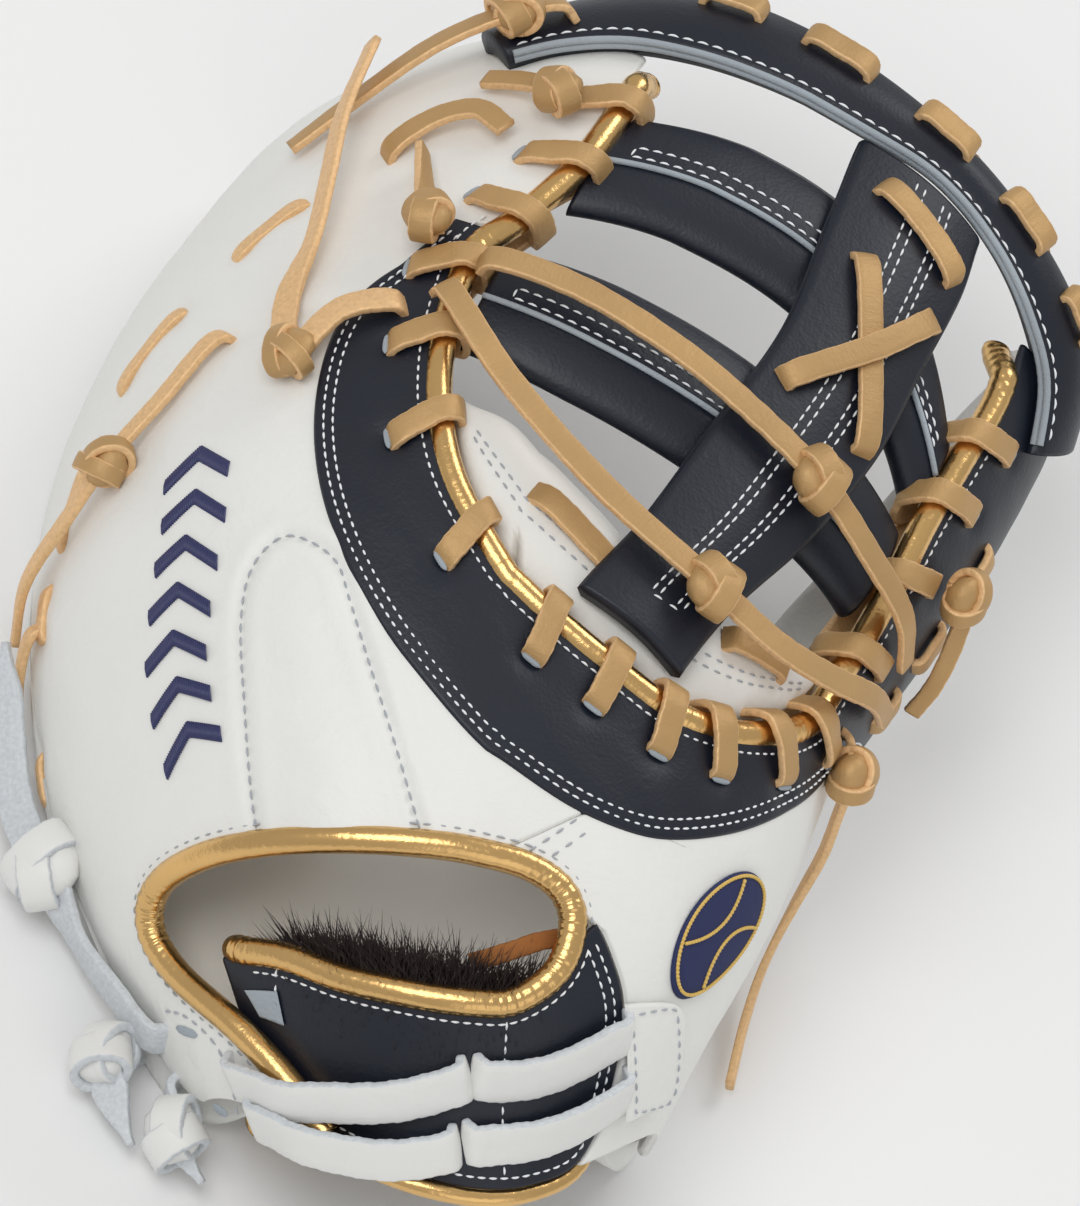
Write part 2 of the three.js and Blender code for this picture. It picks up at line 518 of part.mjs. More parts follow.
function steps(from, to, step) {
  const count = Math.round((to - from) / step);
  return Array.from({ length: count + 1 }, (_, i) => lerp(from, to, i / count));
}

function shift(line, distance) {
  // Moves a path sideways over the back by a real distance, to the right of its direction
  return line.map((place, i) => {
    const before = line[Math.max(i - 1, 0)];
    const after = line[Math.min(i + 1, line.length - 1)];
    const { alongS, alongT, normal } = backFrame(place.s, place.t);
    const tangent = backPoint(after.s, after.t).sub(backPoint(before.s, before.t)).normalize();
    const side = tangent.cross(normal).normalize().multiplyScalar(distance);
    const ss = alongS.dot(alongS);
    const st = alongS.dot(alongT);
    const tt = alongT.dot(alongT);
    const bs = side.dot(alongS);
    const bt = side.dot(alongT);
    const det = ss * tt - st * st;
    return { s: place.s + (bs * tt - bt * st) / det, t: place.t + (bt * ss - bs * st) / det };
  });
}

function body(points, faces) {
  // A closed body whose faces are turned outwards
  let volume = 0;
  const cross = new THREE.Vector3();
  for (const [a, b, c] of faces) volume += points[a].dot(cross.crossVectors(points[b], points[c]));
  const turned = volume > 0 ? faces : faces.map(([a, b, c]) => [a, c, b]);
  const geometry = new THREE.BufferGeometry();
  geometry.setAttribute('position', new THREE.Float32BufferAttribute(points.flatMap((p) => p.toArray()), 3));
  geometry.setIndex(turned.flat());
  return geometry;
}

function slab(rows, columns, top, bottom) {
  // A wall between two grids of points, closed round its four sides
  const points = [];
  const faces = [];
  const index = (side, i, j) => side * rows * columns + i * columns + j;
  for (const layer of [top, bottom]) {
    for (let i = 0; i < rows; i += 1) for (let j = 0; j < columns; j += 1) points.push(layer(i, j));
  }
  const quad = (a, b, c, d) => faces.push([a, b, c], [a, c, d]);
  for (let i = 0; i + 1 < rows; i += 1) {
    for (let j = 0; j + 1 < columns; j += 1) {
      quad(index(0, i, j), index(0, i + 1, j), index(0, i + 1, j + 1), index(0, i, j + 1));
      quad(index(1, i, j), index(1, i, j + 1), index(1, i + 1, j + 1), index(1, i + 1, j));
    }
    quad(index(0, i, 0), index(1, i, 0), index(1, i + 1, 0), index(0, i + 1, 0));
    quad(index(0, i, columns - 1), index(0, i + 1, columns - 1), index(1, i + 1, columns - 1), index(1, i, columns - 1));
  }
  for (let j = 0; j + 1 < columns; j += 1) {
    quad(index(0, 0, j), index(0, 0, j + 1), index(1, 0, j + 1), index(1, 0, j));
    quad(index(0, rows - 1, j), index(1, rows - 1, j), index(1, rows - 1, j + 1), index(0, rows - 1, j + 1));
  }
  return body(points, faces);
}

function ruled(left, right, columns, top, bottom) {
  // A slab over the back between two matched paths. top and bottom give depths at i, u and the place.
  const place = (i, j) => {
    const u = j / (columns - 1);
    return { u, s: lerp(left[i].s, right[i].s, u), t: lerp(left[i].t, right[i].t, u) };
  };
  const layer = (depth) => (i, j) => {
    const at = place(i, j);
    return skin(at.s, at.t, depth(i / (left.length - 1), at.u, at));
  };
  return slab(left.length, columns, layer(top), layer(bottom));
}

function loft(rings) {
  // A body through rings of points, with flat ends
  const sides = rings[0].length;
  const points = rings.flat();
  const faces = [];
  for (let i = 0; i + 1 < rings.length; i += 1) {
    for (let k = 0; k < sides; k += 1) {
      const a = i * sides + k;
      const b = i * sides + ((k + 1) % sides);
      faces.push([a, b, b + sides], [a, b + sides, a + sides]);
    }
  }
  const end = (rings.length - 1) * sides;
  for (let k = 1; k + 1 < sides; k += 1) {
    faces.push([0, k + 1, k], [end, end + k, end + k + 1]);
  }
  return body(points, faces);
}

function ringsAlong(points, normals, section) {
  // Carries a section along points. section lists sideways and upward offsets.
  return points.map((p, i) => {
    const before = points[Math.max(i - 1, 0)];
    const after = points[Math.min(i + 1, points.length - 1)];
    const tangent = after.clone().sub(before).normalize();
    const side = tangent.clone().cross(normals[i]).normalize();
    const up = side.clone().cross(tangent);
    return section.map(([x, y]) => p.clone().addScaledVector(side, x).addScaledVector(up, y));
  });
}

function sweep(points, normals, section) {
  return loft(ringsAlong(points, normals, section));
}

function strip(width, thick) {
  const x = width / 2;
  const y = thick / 2;
  return [[-x, -y], [x, -y], [x, y], [-x, y]];
}

function round(radius, sides) {
  return Array.from({ length: sides }, (_, k) => {
    const a = (2 * Math.PI * (k + 0.5)) / sides;
    return [radius * Math.cos(a), radius * Math.sin(a)];
  });
}

function smooth(knots, steps) {
  // Points and up directions on a smooth line through knots of a point and its up direction
  const line = new THREE.CatmullRomCurve3(knots.map((k) => k.point), false, 'centripetal');
  const ups = new THREE.CatmullRomCurve3(knots.map((k) => k.up), false, 'catmullrom');
  const count = (knots.length - 1) * steps;
  const points = [];
  const normals = [];
  for (let i = 0; i <= count; i += 1) {
    points.push(line.getPoint(i / count));
    normals.push(ups.getPoint(i / count).normalize());
  }
  return { points, normals };
}

function lace(knots, steps) {
  const { points, normals } = smooth(knots, steps);
  return sweep(points, normals, strip(LACE_WIDTH, LACE_THICK));
}

function onBack(s, t, depth) {
  const { normal } = backFrame(s, t);
  return { point: skin(s, t, depth), up: normal };
}

function solid(geometry) {
  const copy = geometry.clone();
  copy.deleteAttribute('normal');
  copy.deleteAttribute('uv');
  const merged = mergeVertices(copy, 1e-5);
  const mesh = new wasm.Mesh({
    numProp: 3,
    vertProperties: merged.attributes.position.array,
    triVerts: Uint32Array.from(merged.index.array),
  });
  return new wasm.Manifold(mesh);
}

function geometryOf(manifold) {
  const mesh = manifold.getMesh();
  const geometry = new THREE.BufferGeometry();
  geometry.setAttribute('position', new THREE.BufferAttribute(new Float32Array(mesh.vertProperties), 3));
  geometry.setIndex(new THREE.BufferAttribute(new Uint32Array(mesh.triVerts), 1));
  return geometry;
}

function largest(manifold) {
  return manifold.decompose().sort((a, b) => b.volume() - a.volume())[0];
}

function slotTool(centre, ahead, depthFrom, depthTo) {
  // The room of a lace slot: wide across the lace, and long enough for its bend
  const from = onBack(centre.s, centre.t, depthFrom);
  const to = onBack(centre.s, centre.t, depthTo);
  const next = backPoint(ahead.s, ahead.t).sub(backPoint(centre.s, centre.t));
  const section = strip(LACE_WIDTH + 8 * GAP, SLOT_LENGTH);
  return solid(sweep([from.point, to.point], [next, next.clone()], section));
}

function roomRings(knots) {
  const { points, normals } = smooth(knots, 1);
  return ringsAlong(points, normals, strip(LACE_WIDTH + 2 * GAP, LACE_THICK + 2 * GAP));
}

function hullOf(rings) {
  return solid(new ConvexGeometry(rings.flat()));
}

function laceRoom(knots) {
  // The space round a lace, as a union of convex lengths
  const rings = roomRings(knots);
  return wasm.Manifold.union(rings.slice(1).map((ring, i) => hullOf([rings[i], ring])));
}

function cut(geometry, tools) {
  let result = solid(geometry);
  for (const tool of tools) result = result.subtract(tool);
  return geometryOf(largest(result));
}

function join(parts) {
  let result = solid(parts[0]);
  for (const part of parts.slice(1)) result = result.add(solid(part));
  return geometryOf(result);
}

const group = new THREE.Group();
group.position.y = -HEEL_REST_Y;

function add(name, geometry, material) {
  const mesh = new THREE.Mesh(geometry, material);
  mesh.name = name;
  group.add(mesh);
}

const BINDING_CLEAR = BINDING_RADIUS + GAP;
const CUFF_CLEAR = CUFF_BINDING_RADIUS + GAP + 1.6 * FACET_ROOM;
const PALM_UNDER = BACK_LEATHER + GAP + FACET_ROOM;
const LAST_STATION = HORSESHOE.length - 1;

function edgePlace(station, outward) {
  // A place beside the edge of the web opening, outward over the back or, if negative, into the web
  const near = path(HORSESHOE, 'edgeS', 'edgeT', station - 0.1, station + 0.1, 3);
  return shift(near, outward)[1];
}

// Palm shell: flange along the web opening, hollow for the hand, rolled rim, flat heel
const FLANGE = 0.17;
const PALM_ROWS = 40;
const PALM_LINE = [0, 0.18, 0.28, 0.46, 0.66, 0.84, 1, 1.06, 1.5, 2];
const TIP_BULGE = 0.03;

function palmPlace(station, u) {
  // u runs from 0 at the web opening to 1 at the outer seam and 2 at the rim
  const at = (column) => valueAt(HORSESHOE, column, station);
  const share = u <= 1 ? u * at('seam') : lerp(at('seam'), 1, u - 1);
  const fromTip = Math.min(station, LAST_STATION - station);
  const bulge = TIP_BULGE * Math.max(0, 1 - fromTip / 2) * Math.sin(Math.PI * share);
  const edge = edgePlace(station, BINDING_CLEAR);
  return {
    s: lerp(edge.s, at('rimS'), share) + bulge,
    t: lerp(edge.t, at('rimT'), share),
    room: at('room'),
    sink: at('sink'),
    open: at('open'),
  };
}

function sunk(point, share, floor, t) {
  // Brings a point down to a level, except near the two rims, and tucks it in under the hand
  const k = share * (1 - smoothstep(Math.abs(t), 0.62, 0.92));
  const tuck = HEEL_TUCK * share * Math.cos((t * Math.PI) / 2) ** 2;
  return new THREE.Vector3(point.x, point.y + tuck, Math.max(lerp(point.z, floor, k), 0));
}

function palmPoint(station, u, under) {
  const at = palmPlace(station, u);
  const hollow = Math.sin(Math.PI * clamp((u - FLANGE) / (1 - FLANGE), 0, 1)) ** 0.75;
  const arch = u <= 1 ? lerp(hollow, smoothstep(u, FLANGE, 0.62), at.open) : at.open;
  const base = u <= 1 ? PALM_UNDER : PALM_UNDER * at.open;
  const top = base + HAND_ROOM * at.room * arch;
  const pad = lerp(CROTCH_PAD, PALM_PAD, smoothstep(u, FLANGE, 0.5));
  const bottom = u <= 1 ? top + pad : Math.max(top + pad, PALM_UNDER + lerp(RIM_ROLL, CROTCH_PAD, u - 1));
  const share = at.sink * smoothstep(u, 0.2, 1) ** 1.2;
  return sunk(skin(at.s, at.t, under ? bottom : top), share, under ? 0 : PALM_PAD, at.t);
}

function palmGrid(under) {
  return (i, j) => palmPoint((i / (PALM_ROWS - 1)) * LAST_STATION, PALM_LINE[j], under);
}

function seamLine(stations, inward) {
  // The outer seam at a list of stations, set in from the palm's step
  const line = stations.map((station) => {
    const { s, t } = palmPlace(station, 1);
    return { s, t };
  });
  return shift(line, inward);
}

// Lace over the bound edge of the web opening
const LACE_OVER = GAP + LACE_THICK / 2;
const BINDING_DEPTH = 1.2;
const FLANGE_UNDER = PALM_UNDER + CROTCH_PAD + LACE_OVER + 2 * FACET_ROOM;

// One turn of the lace round the edge: sideways place, depth and the way its face looks, from the
// hole (0 degrees, away from the web) over the top (90) and down inside the web (180).
function loopKnots(station) {
  const inside = BINDING_RADIUS + LACE_OVER + 2 * GAP;
  const spots = [
    { slant: 1, out: LACE_SET_BACK - 1, depth: FLANGE_UNDER, face: 300 },
    { slant: 1, out: LACE_SET_BACK, depth: PALM_UNDER, face: 360 },
    { slant: 0.95, out: LACE_SET_BACK - 1.5, depth: -LACE_OVER - 0.2, face: 430 },
    { slant: 0.6, out: 5.5, depth: BINDING_DEPTH - inside + 0.9, face: 455 },
    { slant: 0.2, out: 0, depth: BINDING_DEPTH - inside, face: 450 },
    { slant: 0, out: -0.72 * inside, depth: BINDING_DEPTH - 0.72 * inside, face: 495 },
    { slant: -0.2, out: -inside, depth: BINDING_DEPTH, face: 540 },
    { slant: -0.4, out: -inside, depth: FLANGE_UNDER - 3, face: 555 },
    { slant: -0.6, out: 0, depth: FLANGE_UNDER + 0.4, face: 620 },
  ];
  return spots.map(({ slant, out, depth, face }) => {
    const along = station + slant * LOOP_SLANT;
    const place = edgePlace(along, out);
    const { point, up } = onBack(place.s, place.t, depth);
    const away = onBack(...Object.values(edgePlace(along, out + 1)), depth).point.sub(point).normalize();
    const angle = THREE.MathUtils.degToRad(face);
    const look = away.multiplyScalar(Math.cos(angle)).addScaledVector(up, Math.sin(angle)).normalize();
    return { point, up: look };
  });
}

const loopLine = LOOPS.flatMap(loopKnots);
const crotchLace = lace(loopLine, 1);
const loopRings = roomRings(loopLine);
const LOOP_KNOTS = loopLine.length / LOOPS.length;
const INSIDE_LEG = [4, 5, 6, 7, 8];
const legRooms = LOOPS.map((_, k) => hullOf(INSIDE_LEG.map((ring) => loopRings[k * LOOP_KNOTS + ring])));
const crotchLaceRoom = laceRoom(loopLine);
const loopSlots = LOOPS.map((station) => {
  const along = station + LOOP_SLANT;
  const centre = edgePlace(along, LACE_SET_BACK - 0.4);
  return slotTool(centre, edgePlace(along, LACE_SET_BACK - 1.4), -LACE_THICK, FLANGE_UNDER + LACE_THICK);
});

// Running lace: up through the leather, over, and down again
function runningKnots(table, over, under) {
  const knots = [];
  for (let i = 0; i < table.length; i += 2) {
    const from = table[i];
    const to = table[i + 1];
    const mid = { s: (from.s + to.s) / 2, t: (from.t + to.t) / 2 };
    knots.push(onBack(lerp(from.s, to.s, -0.12), lerp(from.t, to.t, -0.12), under));
    knots.push(onBack(from.s, from.t, over));
    knots.push(onBack(mid.s, mid.t, over - 2 * GAP));
    knots.push(onBack(to.s, to.t, over));
    knots.push(onBack(lerp(from.s, to.s, 1.12), lerp(from.t, to.t, 1.12), under));
  }
  return knots;
}

function runningSlots(table, depthFrom, depthTo) {
  // Slots at the two ends of each stitch, a little outside it where the lace slants through
  const slots = [];
  for (let i = 0; i < table.length; i += 2) {
    const from = table[i];
    const to = table[i + 1];
    const at = (f) => ({ s: lerp(from.s, to.s, f), t: lerp(from.t, to.t, f) });
    slots.push(slotTool(at(-0.07), at(0.03), depthFrom, depthTo), slotTool(at(1.07), at(0.97), depthFrom, depthTo));
  }
  return slots;
}

const INSIDE_BACK = BACK_LEATHER + LACE_OVER + GAP;
const fingerSlots = runningSlots(FINGER_LACE, -LACE_THICK, BACK_LEATHER + LACE_THICK);
const thumbSlots = runningSlots(THUMB_LACE, -LACE_THICK, BACK_LEATHER + LACE_THICK);
const fingerLaceLine = runningKnots(FINGER_LACE, -LACE_OVER, INSIDE_BACK);
const thumbLaceLine = runningKnots(THUMB_LACE, -LACE_OVER - GAP, INSIDE_BACK + GAP);

function bandPlace(along, across) {
  const row = along * (BAND.length - 1);
  const at = (column) => valueAt(BAND, column, row);
  return { s: lerp(at('innerS'), at('outerS'), across), t: lerp(at('innerT'), at('outerT'), across) };
}

const bandLaceTable = BAND_STITCHES.map((along) => bandPlace(along, BAND_STITCH_ACROSS));
const bandLaceLine = runningKnots(bandLaceTable, -BAND_THICK - 2 * GAP - LACE_OVER, LACE_OVER + GAP);
const bandSlots = runningSlots(bandLaceTable, -BAND_THICK - 3 * LACE_THICK, 2 * LACE_THICK);

// Back panels
const crotchRows = steps(0, CROTCH_OUTER.length - 1, 0.5);
const crotchInner = crotchRows.map((row) => edgePlace(valueAt(CROTCH_OUTER, 'station', row), BINDING_CLEAR));
const crotchSideRows = crotchRows.filter((row) => row > THUMB_SIDE_ROW);
const crotchOuter = [
  ...shift(rowsOf(CROTCH_OUTER, crotchRows.filter((row) => row < THUMB_SIDE_ROW)), -GAP / 2),
  ...seamLine(crotchSideRows.map((row) => valueAt(CROTCH_OUTER, 'thumbSeam', row)), -SEAM_CLEAR),
];
const backLayer = [() => 0, () => BACK_LEATHER];
const crotchPanel = ruled(crotchInner, crotchOuter, 4, ...backLayer);

const fingerTipStations = [0, 0.6, 1.2, 1.8, 2.4, 3, 3.35];
const fingerCrotchRows = [...steps(0, BACK_SEAM_ROW - 0.5, 0.5), BACK_SEAM_ROW - SEAM_HALF];
const fingerCuffRows = [...steps(0, CUFF_SEAM_ROW - 0.5, 0.75), CUFF_SEAM_ROW - 2 * SEAM_HALF];
const fingerInner = [
  ...shift(fingerTipStations.map((k) => edgePlace(k, 0)), BINDING_CLEAR),
  ...shift(rowsOf(CROTCH_OUTER, fingerCrotchRows), GAP / 2),
  ...shift(rowsOf(CUFF_EDGE, fingerCuffRows), -CUFF_CLEAR).reverse(),
];
const fingerSeam = seamLine([
  ...fingerTipStations,
  ...fingerCrotchRows.map((row) => valueAt(CROTCH_OUTER, 'fingerSeam', row)),
  ...fingerCuffRows.map((row) => valueAt(CUFF_EDGE, 'fingerSeam', row)).reverse(),
], -SEAM_CLEAR);
const fingerBack = ruled(fingerInner, fingerSeam, 7, ...backLayer);

const thumbCrotchRows = [BACK_SEAM_ROW + SEAM_HALF, ...steps(BACK_SEAM_ROW + 0.5, 12.5, 0.5), THUMB_SIDE_ROW];
const thumbCuffRows = [CUFF_SEAM_ROW + 2 * SEAM_HALF, 13, 13.6, 14.2, 14.6, CUFF_RIGHT_ROW];
const thumbStrapRows = steps(STRAP_END_ROW, STRAP_OUTER.length - 1, 0.5);
const thumbInner = [
  ...shift(rowsOf(CROTCH_OUTER, thumbCrotchRows), GAP / 2).reverse(),
  ...shift(rowsOf(CUFF_EDGE, thumbCuffRows), -CUFF_CLEAR),
  ...shift(rowsOf(STRAP_OUTER, thumbStrapRows), GAP).reverse(),
];
const thumbSeamStations = [
  ...thumbStrapRows.map((row) => valueAt(STRAP_OUTER, 'seam', row)),
  ...thumbCuffRows.map((row) => valueAt(CUFF_EDGE, 'thumbSeam', row)).reverse(),
  ...thumbCrotchRows.map((row) => valueAt(CROTCH_OUTER, 'thumbSeam', row)),
];
const thumbSeam = seamLine(thumbSeamStations, -SEAM_CLEAR).reverse();
const thumbBack = ruled(thumbInner, thumbSeam, 5, ...backLayer);

// Wrist strap, sunk under the flap at the finger side and flush at its stitched end
const FLAP_ROOM = 4.9;

function strapDepth(t) {
  return FLAP_ROOM * (1 - smoothstep(t, -0.4, 0.1));
}

const strapInner = shift(path(CUFF_EDGE, 's', 't', CUFF_RIGHT_ROW + 0.4, CUFF_EDGE.length - 1, 21), -CUFF_CLEAR);
const strapOuter = shift(path(STRAP_OUTER, 's', 't', STRAP_OUTER.length - 1, 0, 21), GAP / 2);
const wristStrap = ruled(
  strapInner,
  strapOuter,
  5,
  (i, u, at) => strapDepth(at.t),
  (i, u, at) => strapDepth(at.t) + BACK_LEATHER,
);

// Bindings
function binding(places, radius, depths) {
  const knots = places.map((place, i) => onBack(place.s, place.t, depths[i]));
  return sweep(knots.map((k) => k.point), knots.map((k) => k.up), round(radius, 6));
}

const webBindingPlaces = path(HORSESHOE, 'edgeS', 'edgeT', 0.55, 25.4, 42);
const webBindingRoom = solid(binding(webBindingPlaces, BINDING_CLEAR, webBindingPlaces.map(() => BINDING_DEPTH)));
const webBinding = binding(webBindingPlaces, BINDING_RADIUS, webBindingPlaces.map(() => BINDING_DEPTH));
const cuffPlaces = path(CUFF_EDGE, 's', 't', 0, CUFF_EDGE.length - 1, 42);
const cuffDepths = cuffPlaces.map((place, i) => {
  return BINDING_DEPTH + valueAt(CUFF_EDGE, 'onStrap', (i / 41) * (CUFF_EDGE.length - 1)) * strapDepth(place.t);
});
const cuffBinding = binding(cuffPlaces, CUFF_BINDING_RADIUS, cuffDepths);

const HEEL_FROM = 11.8;
const HEEL_TO = 15.7;
const heelKnots = Array.from({ length: 15 }, (_, i) => {
  const station = lerp(HEEL_FROM, HEEL_TO, i / 14);
  const rim = palmPoint(station, 2, false).add(palmPoint(station, 2, true)).multiplyScalar(0.5);
  const within = palmPoint(station, 1.5, false).add(palmPoint(station, 1.5, true)).multiplyScalar(0.5);
  const away = rim.clone().sub(within).setZ(0).normalize();
  const ends = [palmPoint(station, 2, false), palmPoint(station, 2, true)];
  const furthest = ends.sort((a, b) => b.dot(away) - a.dot(away))[0];
  const edge = furthest.addScaledVector(away, BINDING_CLEAR + 2.4 * FACET_ROOM);
  edge.z = Math.max(rim.z, BINDING_RADIUS + GAP);
  return { point: edge, up: new THREE.Vector3(0, 0, 1) };
});
const heelBinding = sweep(heelKnots.map((k) => k.point), heelKnots.map((k) => k.up), round(BINDING_RADIUS, 6));

// Web bars
const BAR_INSIDE = BINDING_CLEAR + 0.3;

function barProfile(u) {
  // Half thickness of a rolled bar across its width
  return (BAR_THICK / 2) * Math.sqrt(1 - 0.94 * (2 * u - 1) ** 2);
}

const barTop = (i, u) => BAR_CLEARANCE + BAR_THICK / 2 - barProfile(u);
const barBottom = (i, u) => BAR_CLEARANCE + BAR_THICK / 2 + barProfile(u);

function barRail(left, right, bow) {
  const from = edgePlace(left, -BAR_INSIDE);
  const to = edgePlace(right, -BAR_INSIDE);
  return Array.from({ length: 11 }, (_, i) => {
    const f = i / 10;
    return { s: lerp(from.s, to.s, f) + bow * Math.sin(Math.PI * f), t: lerp(from.t, to.t, f) };
  });
}

const bars = BARS.map((bar) => ({
  name: bar.name,
  geometry: ruled(
    barRail(bar.leftTop, bar.rightTop, bar.bowTop),
    barRail(bar.leftLow, bar.rightLow, bar.bowLow),
    5,
    barTop,
    barBottom,
  ),
}));
const footRows = 15;
const footTop = path(FOOT_BAR_TOP, 's', 't', 0, FOOT_BAR_TOP.length - 1, footRows);
const footLow = Array.from({ length: footRows }, (_, i) => {
  return edgePlace(lerp(FOOT_BAR_FROM, FOOT_BAR_TO, i / (footRows - 1)), -BAR_INSIDE);
});
const footBar = ruled(footTop, footLow, 5, barTop, barBottom);

// Web post over the bars, and the top band over the tips
const POST_BOTTOM = BAR_CLEARANCE - 2 * GAP;
const postLeft = path(POST, 'leftS', 'leftT', 0, POST.length - 1, 10);
const postRight = path(POST, 'rightS', 'rightT', 0, POST.length - 1, 10);
const postCrown = (u) => POST_THICK * (0.7 + 0.3 * Math.sin(Math.PI * u));
const post = ruled(postLeft, postRight, 5, (i, u) => POST_BOTTOM - postCrown(u), () => POST_BOTTOM);

const bandRows = 19;
const bandInner = path(BAND, 'innerS', 'innerT', 0, BAND.length - 1, bandRows);
const bandOuter = path(BAND, 'outerS', 'outerT', 0, BAND.length - 1, bandRows);
const bandCrown = (u) => BAND_THICK * (0.62 + 0.38 * Math.sin(Math.PI * u));
const band = ruled(bandInner, bandOuter, 4, (i, u) => -GAP - bandCrown(u), () => -GAP - 0.1);

// Fur lining under the wrist strap, its top edge in locks
const FUR_ROWS = 25;

const FUR_UNDER = [BACK_LEATHER + 2 * GAP, BACK_LEATHER + 2 * GAP, 4.9, 4.9];

function furLining() {
  const place = (i, j) => {
    const f = i / (FUR_ROWS - 1);
    const lock = i % 2 === 0 ? 0 : 1;
    const t = lerp(-0.42, 0.09, f);
    const tip = 0.112 + 0.028 * lock * (1 + 0.35 * Math.sin(7 * f));
    return { s: lerp(0.035, tip, j / 3), t };
  };
  const layer = (extra) => (i, j) => {
    const at = place(i, j);
    return skin(at.s, at.t, strapDepth(at.t) + FUR_UNDER[j] + extra * (j === 3 ? 0.5 : 1));
  };
  return slab(FUR_ROWS, 4, layer(0), layer(FUR_DEEP));
}

// Lacing straps, their tab, and the oval patch
function strapRibbon(run) {
  const knots = run.map(({ s, t, lift }) => onBack(s, t, -lift - STRAP_THICK / 2));
  const { points, normals } = smooth(knots, 3);
  return sweep(points, normals, strip(STRAP_WIDTH, STRAP_THICK));
}

const tabLeft = path(STRAP_TAB, 'leftS', 'leftT', 0, 1, 4);
const tabRight = path(STRAP_TAB, 'rightS', 'rightT', 0, 1, 4);
const strapTab = ruled(tabLeft, tabRight, 4, () => -2 * GAP - TAB_THICK, () => -2 * GAP);

function ovalPatch() {
  const sides = 16;
  const { alongS, alongT } = backFrame(PATCH_PLACE.s, PATCH_PLACE.t);
  const ring = Array.from({ length: sides }, (_, k) => {
    const a = (2 * Math.PI * k) / sides;
    const x = PATCH_PLACE.halfLength * Math.cos(a);
    const y = PATCH_PLACE.halfWidth * Math.sin(a);
    const up = x * Math.sin(PATCH_PLACE.turn) + y * Math.cos(PATCH_PLACE.turn);
    const over = x * Math.cos(PATCH_PLACE.turn) - y * Math.sin(PATCH_PLACE.turn);
    return { s: PATCH_PLACE.s + up / alongS.length(), t: PATCH_PLACE.t + over / alongT.length() };
  });
  const points = [];
  for (const depth of [-2 * GAP - PATCH_THICK, -2 * GAP]) {
    points.push(skin(PATCH_PLACE.s, PATCH_PLACE.t, depth));
    for (const at of ring) points.push(skin(at.s, at.t, depth));
  }
  const faces = [];
  for (let k = 0; k < sides; k += 1) {
    const a = 1 + k;
    const b = 1 + ((k + 1) % sides);
    const under = sides + 1;
    faces.push([0, a, b], [under, under + b, under + a], [a, under + a, under + b], [a, under + b, b]);
  }
  return body(points, faces);
}

// Ties
const KNOT_SIDES = 7;

function tieSpot(row) {
  if (row.x === undefined) return onBack(row.s, row.t, -row.lift);
  const face = THREE.MathUtils.degToRad(row.face);
  const up = new THREE.Vector3(Math.cos(face), Math.sin(face), 0.3).normalize();
  return { point: new THREE.Vector3(row.x, row.y + HEEL_REST_Y, row.z), up };
}

function rolled(spots, run) {
  // Turns a lace's face about its direction
  return spots.map((spot, i) => {
    const before = spots[Math.max(i - 1, 0)].point;
    const after = spots[Math.min(i + 1, spots.length - 1)].point;
    const angle = THREE.MathUtils.degToRad(run[i].roll ?? 0);
    const up = spot.up.clone().applyAxisAngle(after.clone().sub(before).normalize(), angle);
    return { point: spot.point, up };
  });
}

function knotBody(centre, tangent, up, [length, width, height]) {
  // A tight knot: a rounded body, long across the lace's run
  const side = tangent.clone().cross(up).normalize();
  const rise = side.clone().cross(tangent).normalize();
  const rings = [-0.93, -0.4, 0.4, 0.93].map((a) => {
    const r = Math.sqrt(1 - a * a);
    return Array.from({ length: KNOT_SIDES }, (_, k) => {
      const angle = (2 * Math.PI * (k + 0.5)) / KNOT_SIDES;
      const p = centre.clone().addScaledVector(side, (a * length) / 2);
      p.addScaledVector(tangent, (r * Math.cos(angle) * width) / 2);
      return p.addScaledVector(rise, (r * Math.sin(angle) * height) / 2);
    });
  });
  return loft(rings);
}

function tie({ run, knotAt, knot }, width, thick) {
  const spots = rolled(run.map(tieSpot), run);
  const { points, normals } = smooth(spots, 2);
  const ribbon = sweep(points, normals, strip(width, thick));
  if (knotAt < 0) return ribbon;
  const at = 2 * knotAt;
  const tangent = points[Math.min(at + 1, points.length - 1)].clone().sub(points[Math.max(at - 1, 0)]).normalize();
  return join([ribbon, knotBody(points[at], tangent, normals[at], knot)]);
}

add('palm_shell', cut(slab(PALM_ROWS, PALM_LINE.length, palmGrid(false), palmGrid(true)), [crotchLaceRoom]), PALM_WHITE);
add('finger_back', cut(fingerBack, [...loopSlots, ...fingerSlots]), WHITE);
add('thumb_back', thumbBack, WHITE);
add('crotch_panel', cut(crotchPanel, [...loopSlots, laceRoom(thumbLaceLine)]), NAVY);
add('wrist_strap', wristStrap, NAVY);
add('web_binding', webBinding, FOIL);
add('cuff_binding', cuffBinding, FOIL);
add('heel_binding', heelBinding, FOIL);
for (const { name, geometry } of bars) add(name, cut(geometry, [crotchLaceRoom, webBindingRoom]), NAVY);
add('web_bar_foot', cut(footBar, legRooms), WHITE);
add('web_post', cut(post, legRooms), NAVY);
add('top_band', cut(band, bandSlots), NAVY);
add('fur_lining', furLining(), FUR);
for (const { name, run } of STRAPS) add(name, strapRibbon(run), WHITE);
add('strap_tab', strapTab, WHITE);
add('oval_patch', ovalPatch(), PATCH);
add('crotch_lace', crotchLace, RAWHIDE);
add('finger_lace', lace(fingerLaceLine, 1), RAWHIDE);
add('thumb_lace', lace(thumbLaceLine, 1), RAWHIDE);
add('band_lace', lace(bandLaceLine, 1), RAWHIDE);
for (const row of TIES) add(row.name, tie(row, LACE_WIDTH, LACE_THICK), RAWHIDE);
for (const row of HEEL_TIES) add(row.name, tie(row, HEEL_TIE_WIDTH, STRAP_THICK), WHITE);
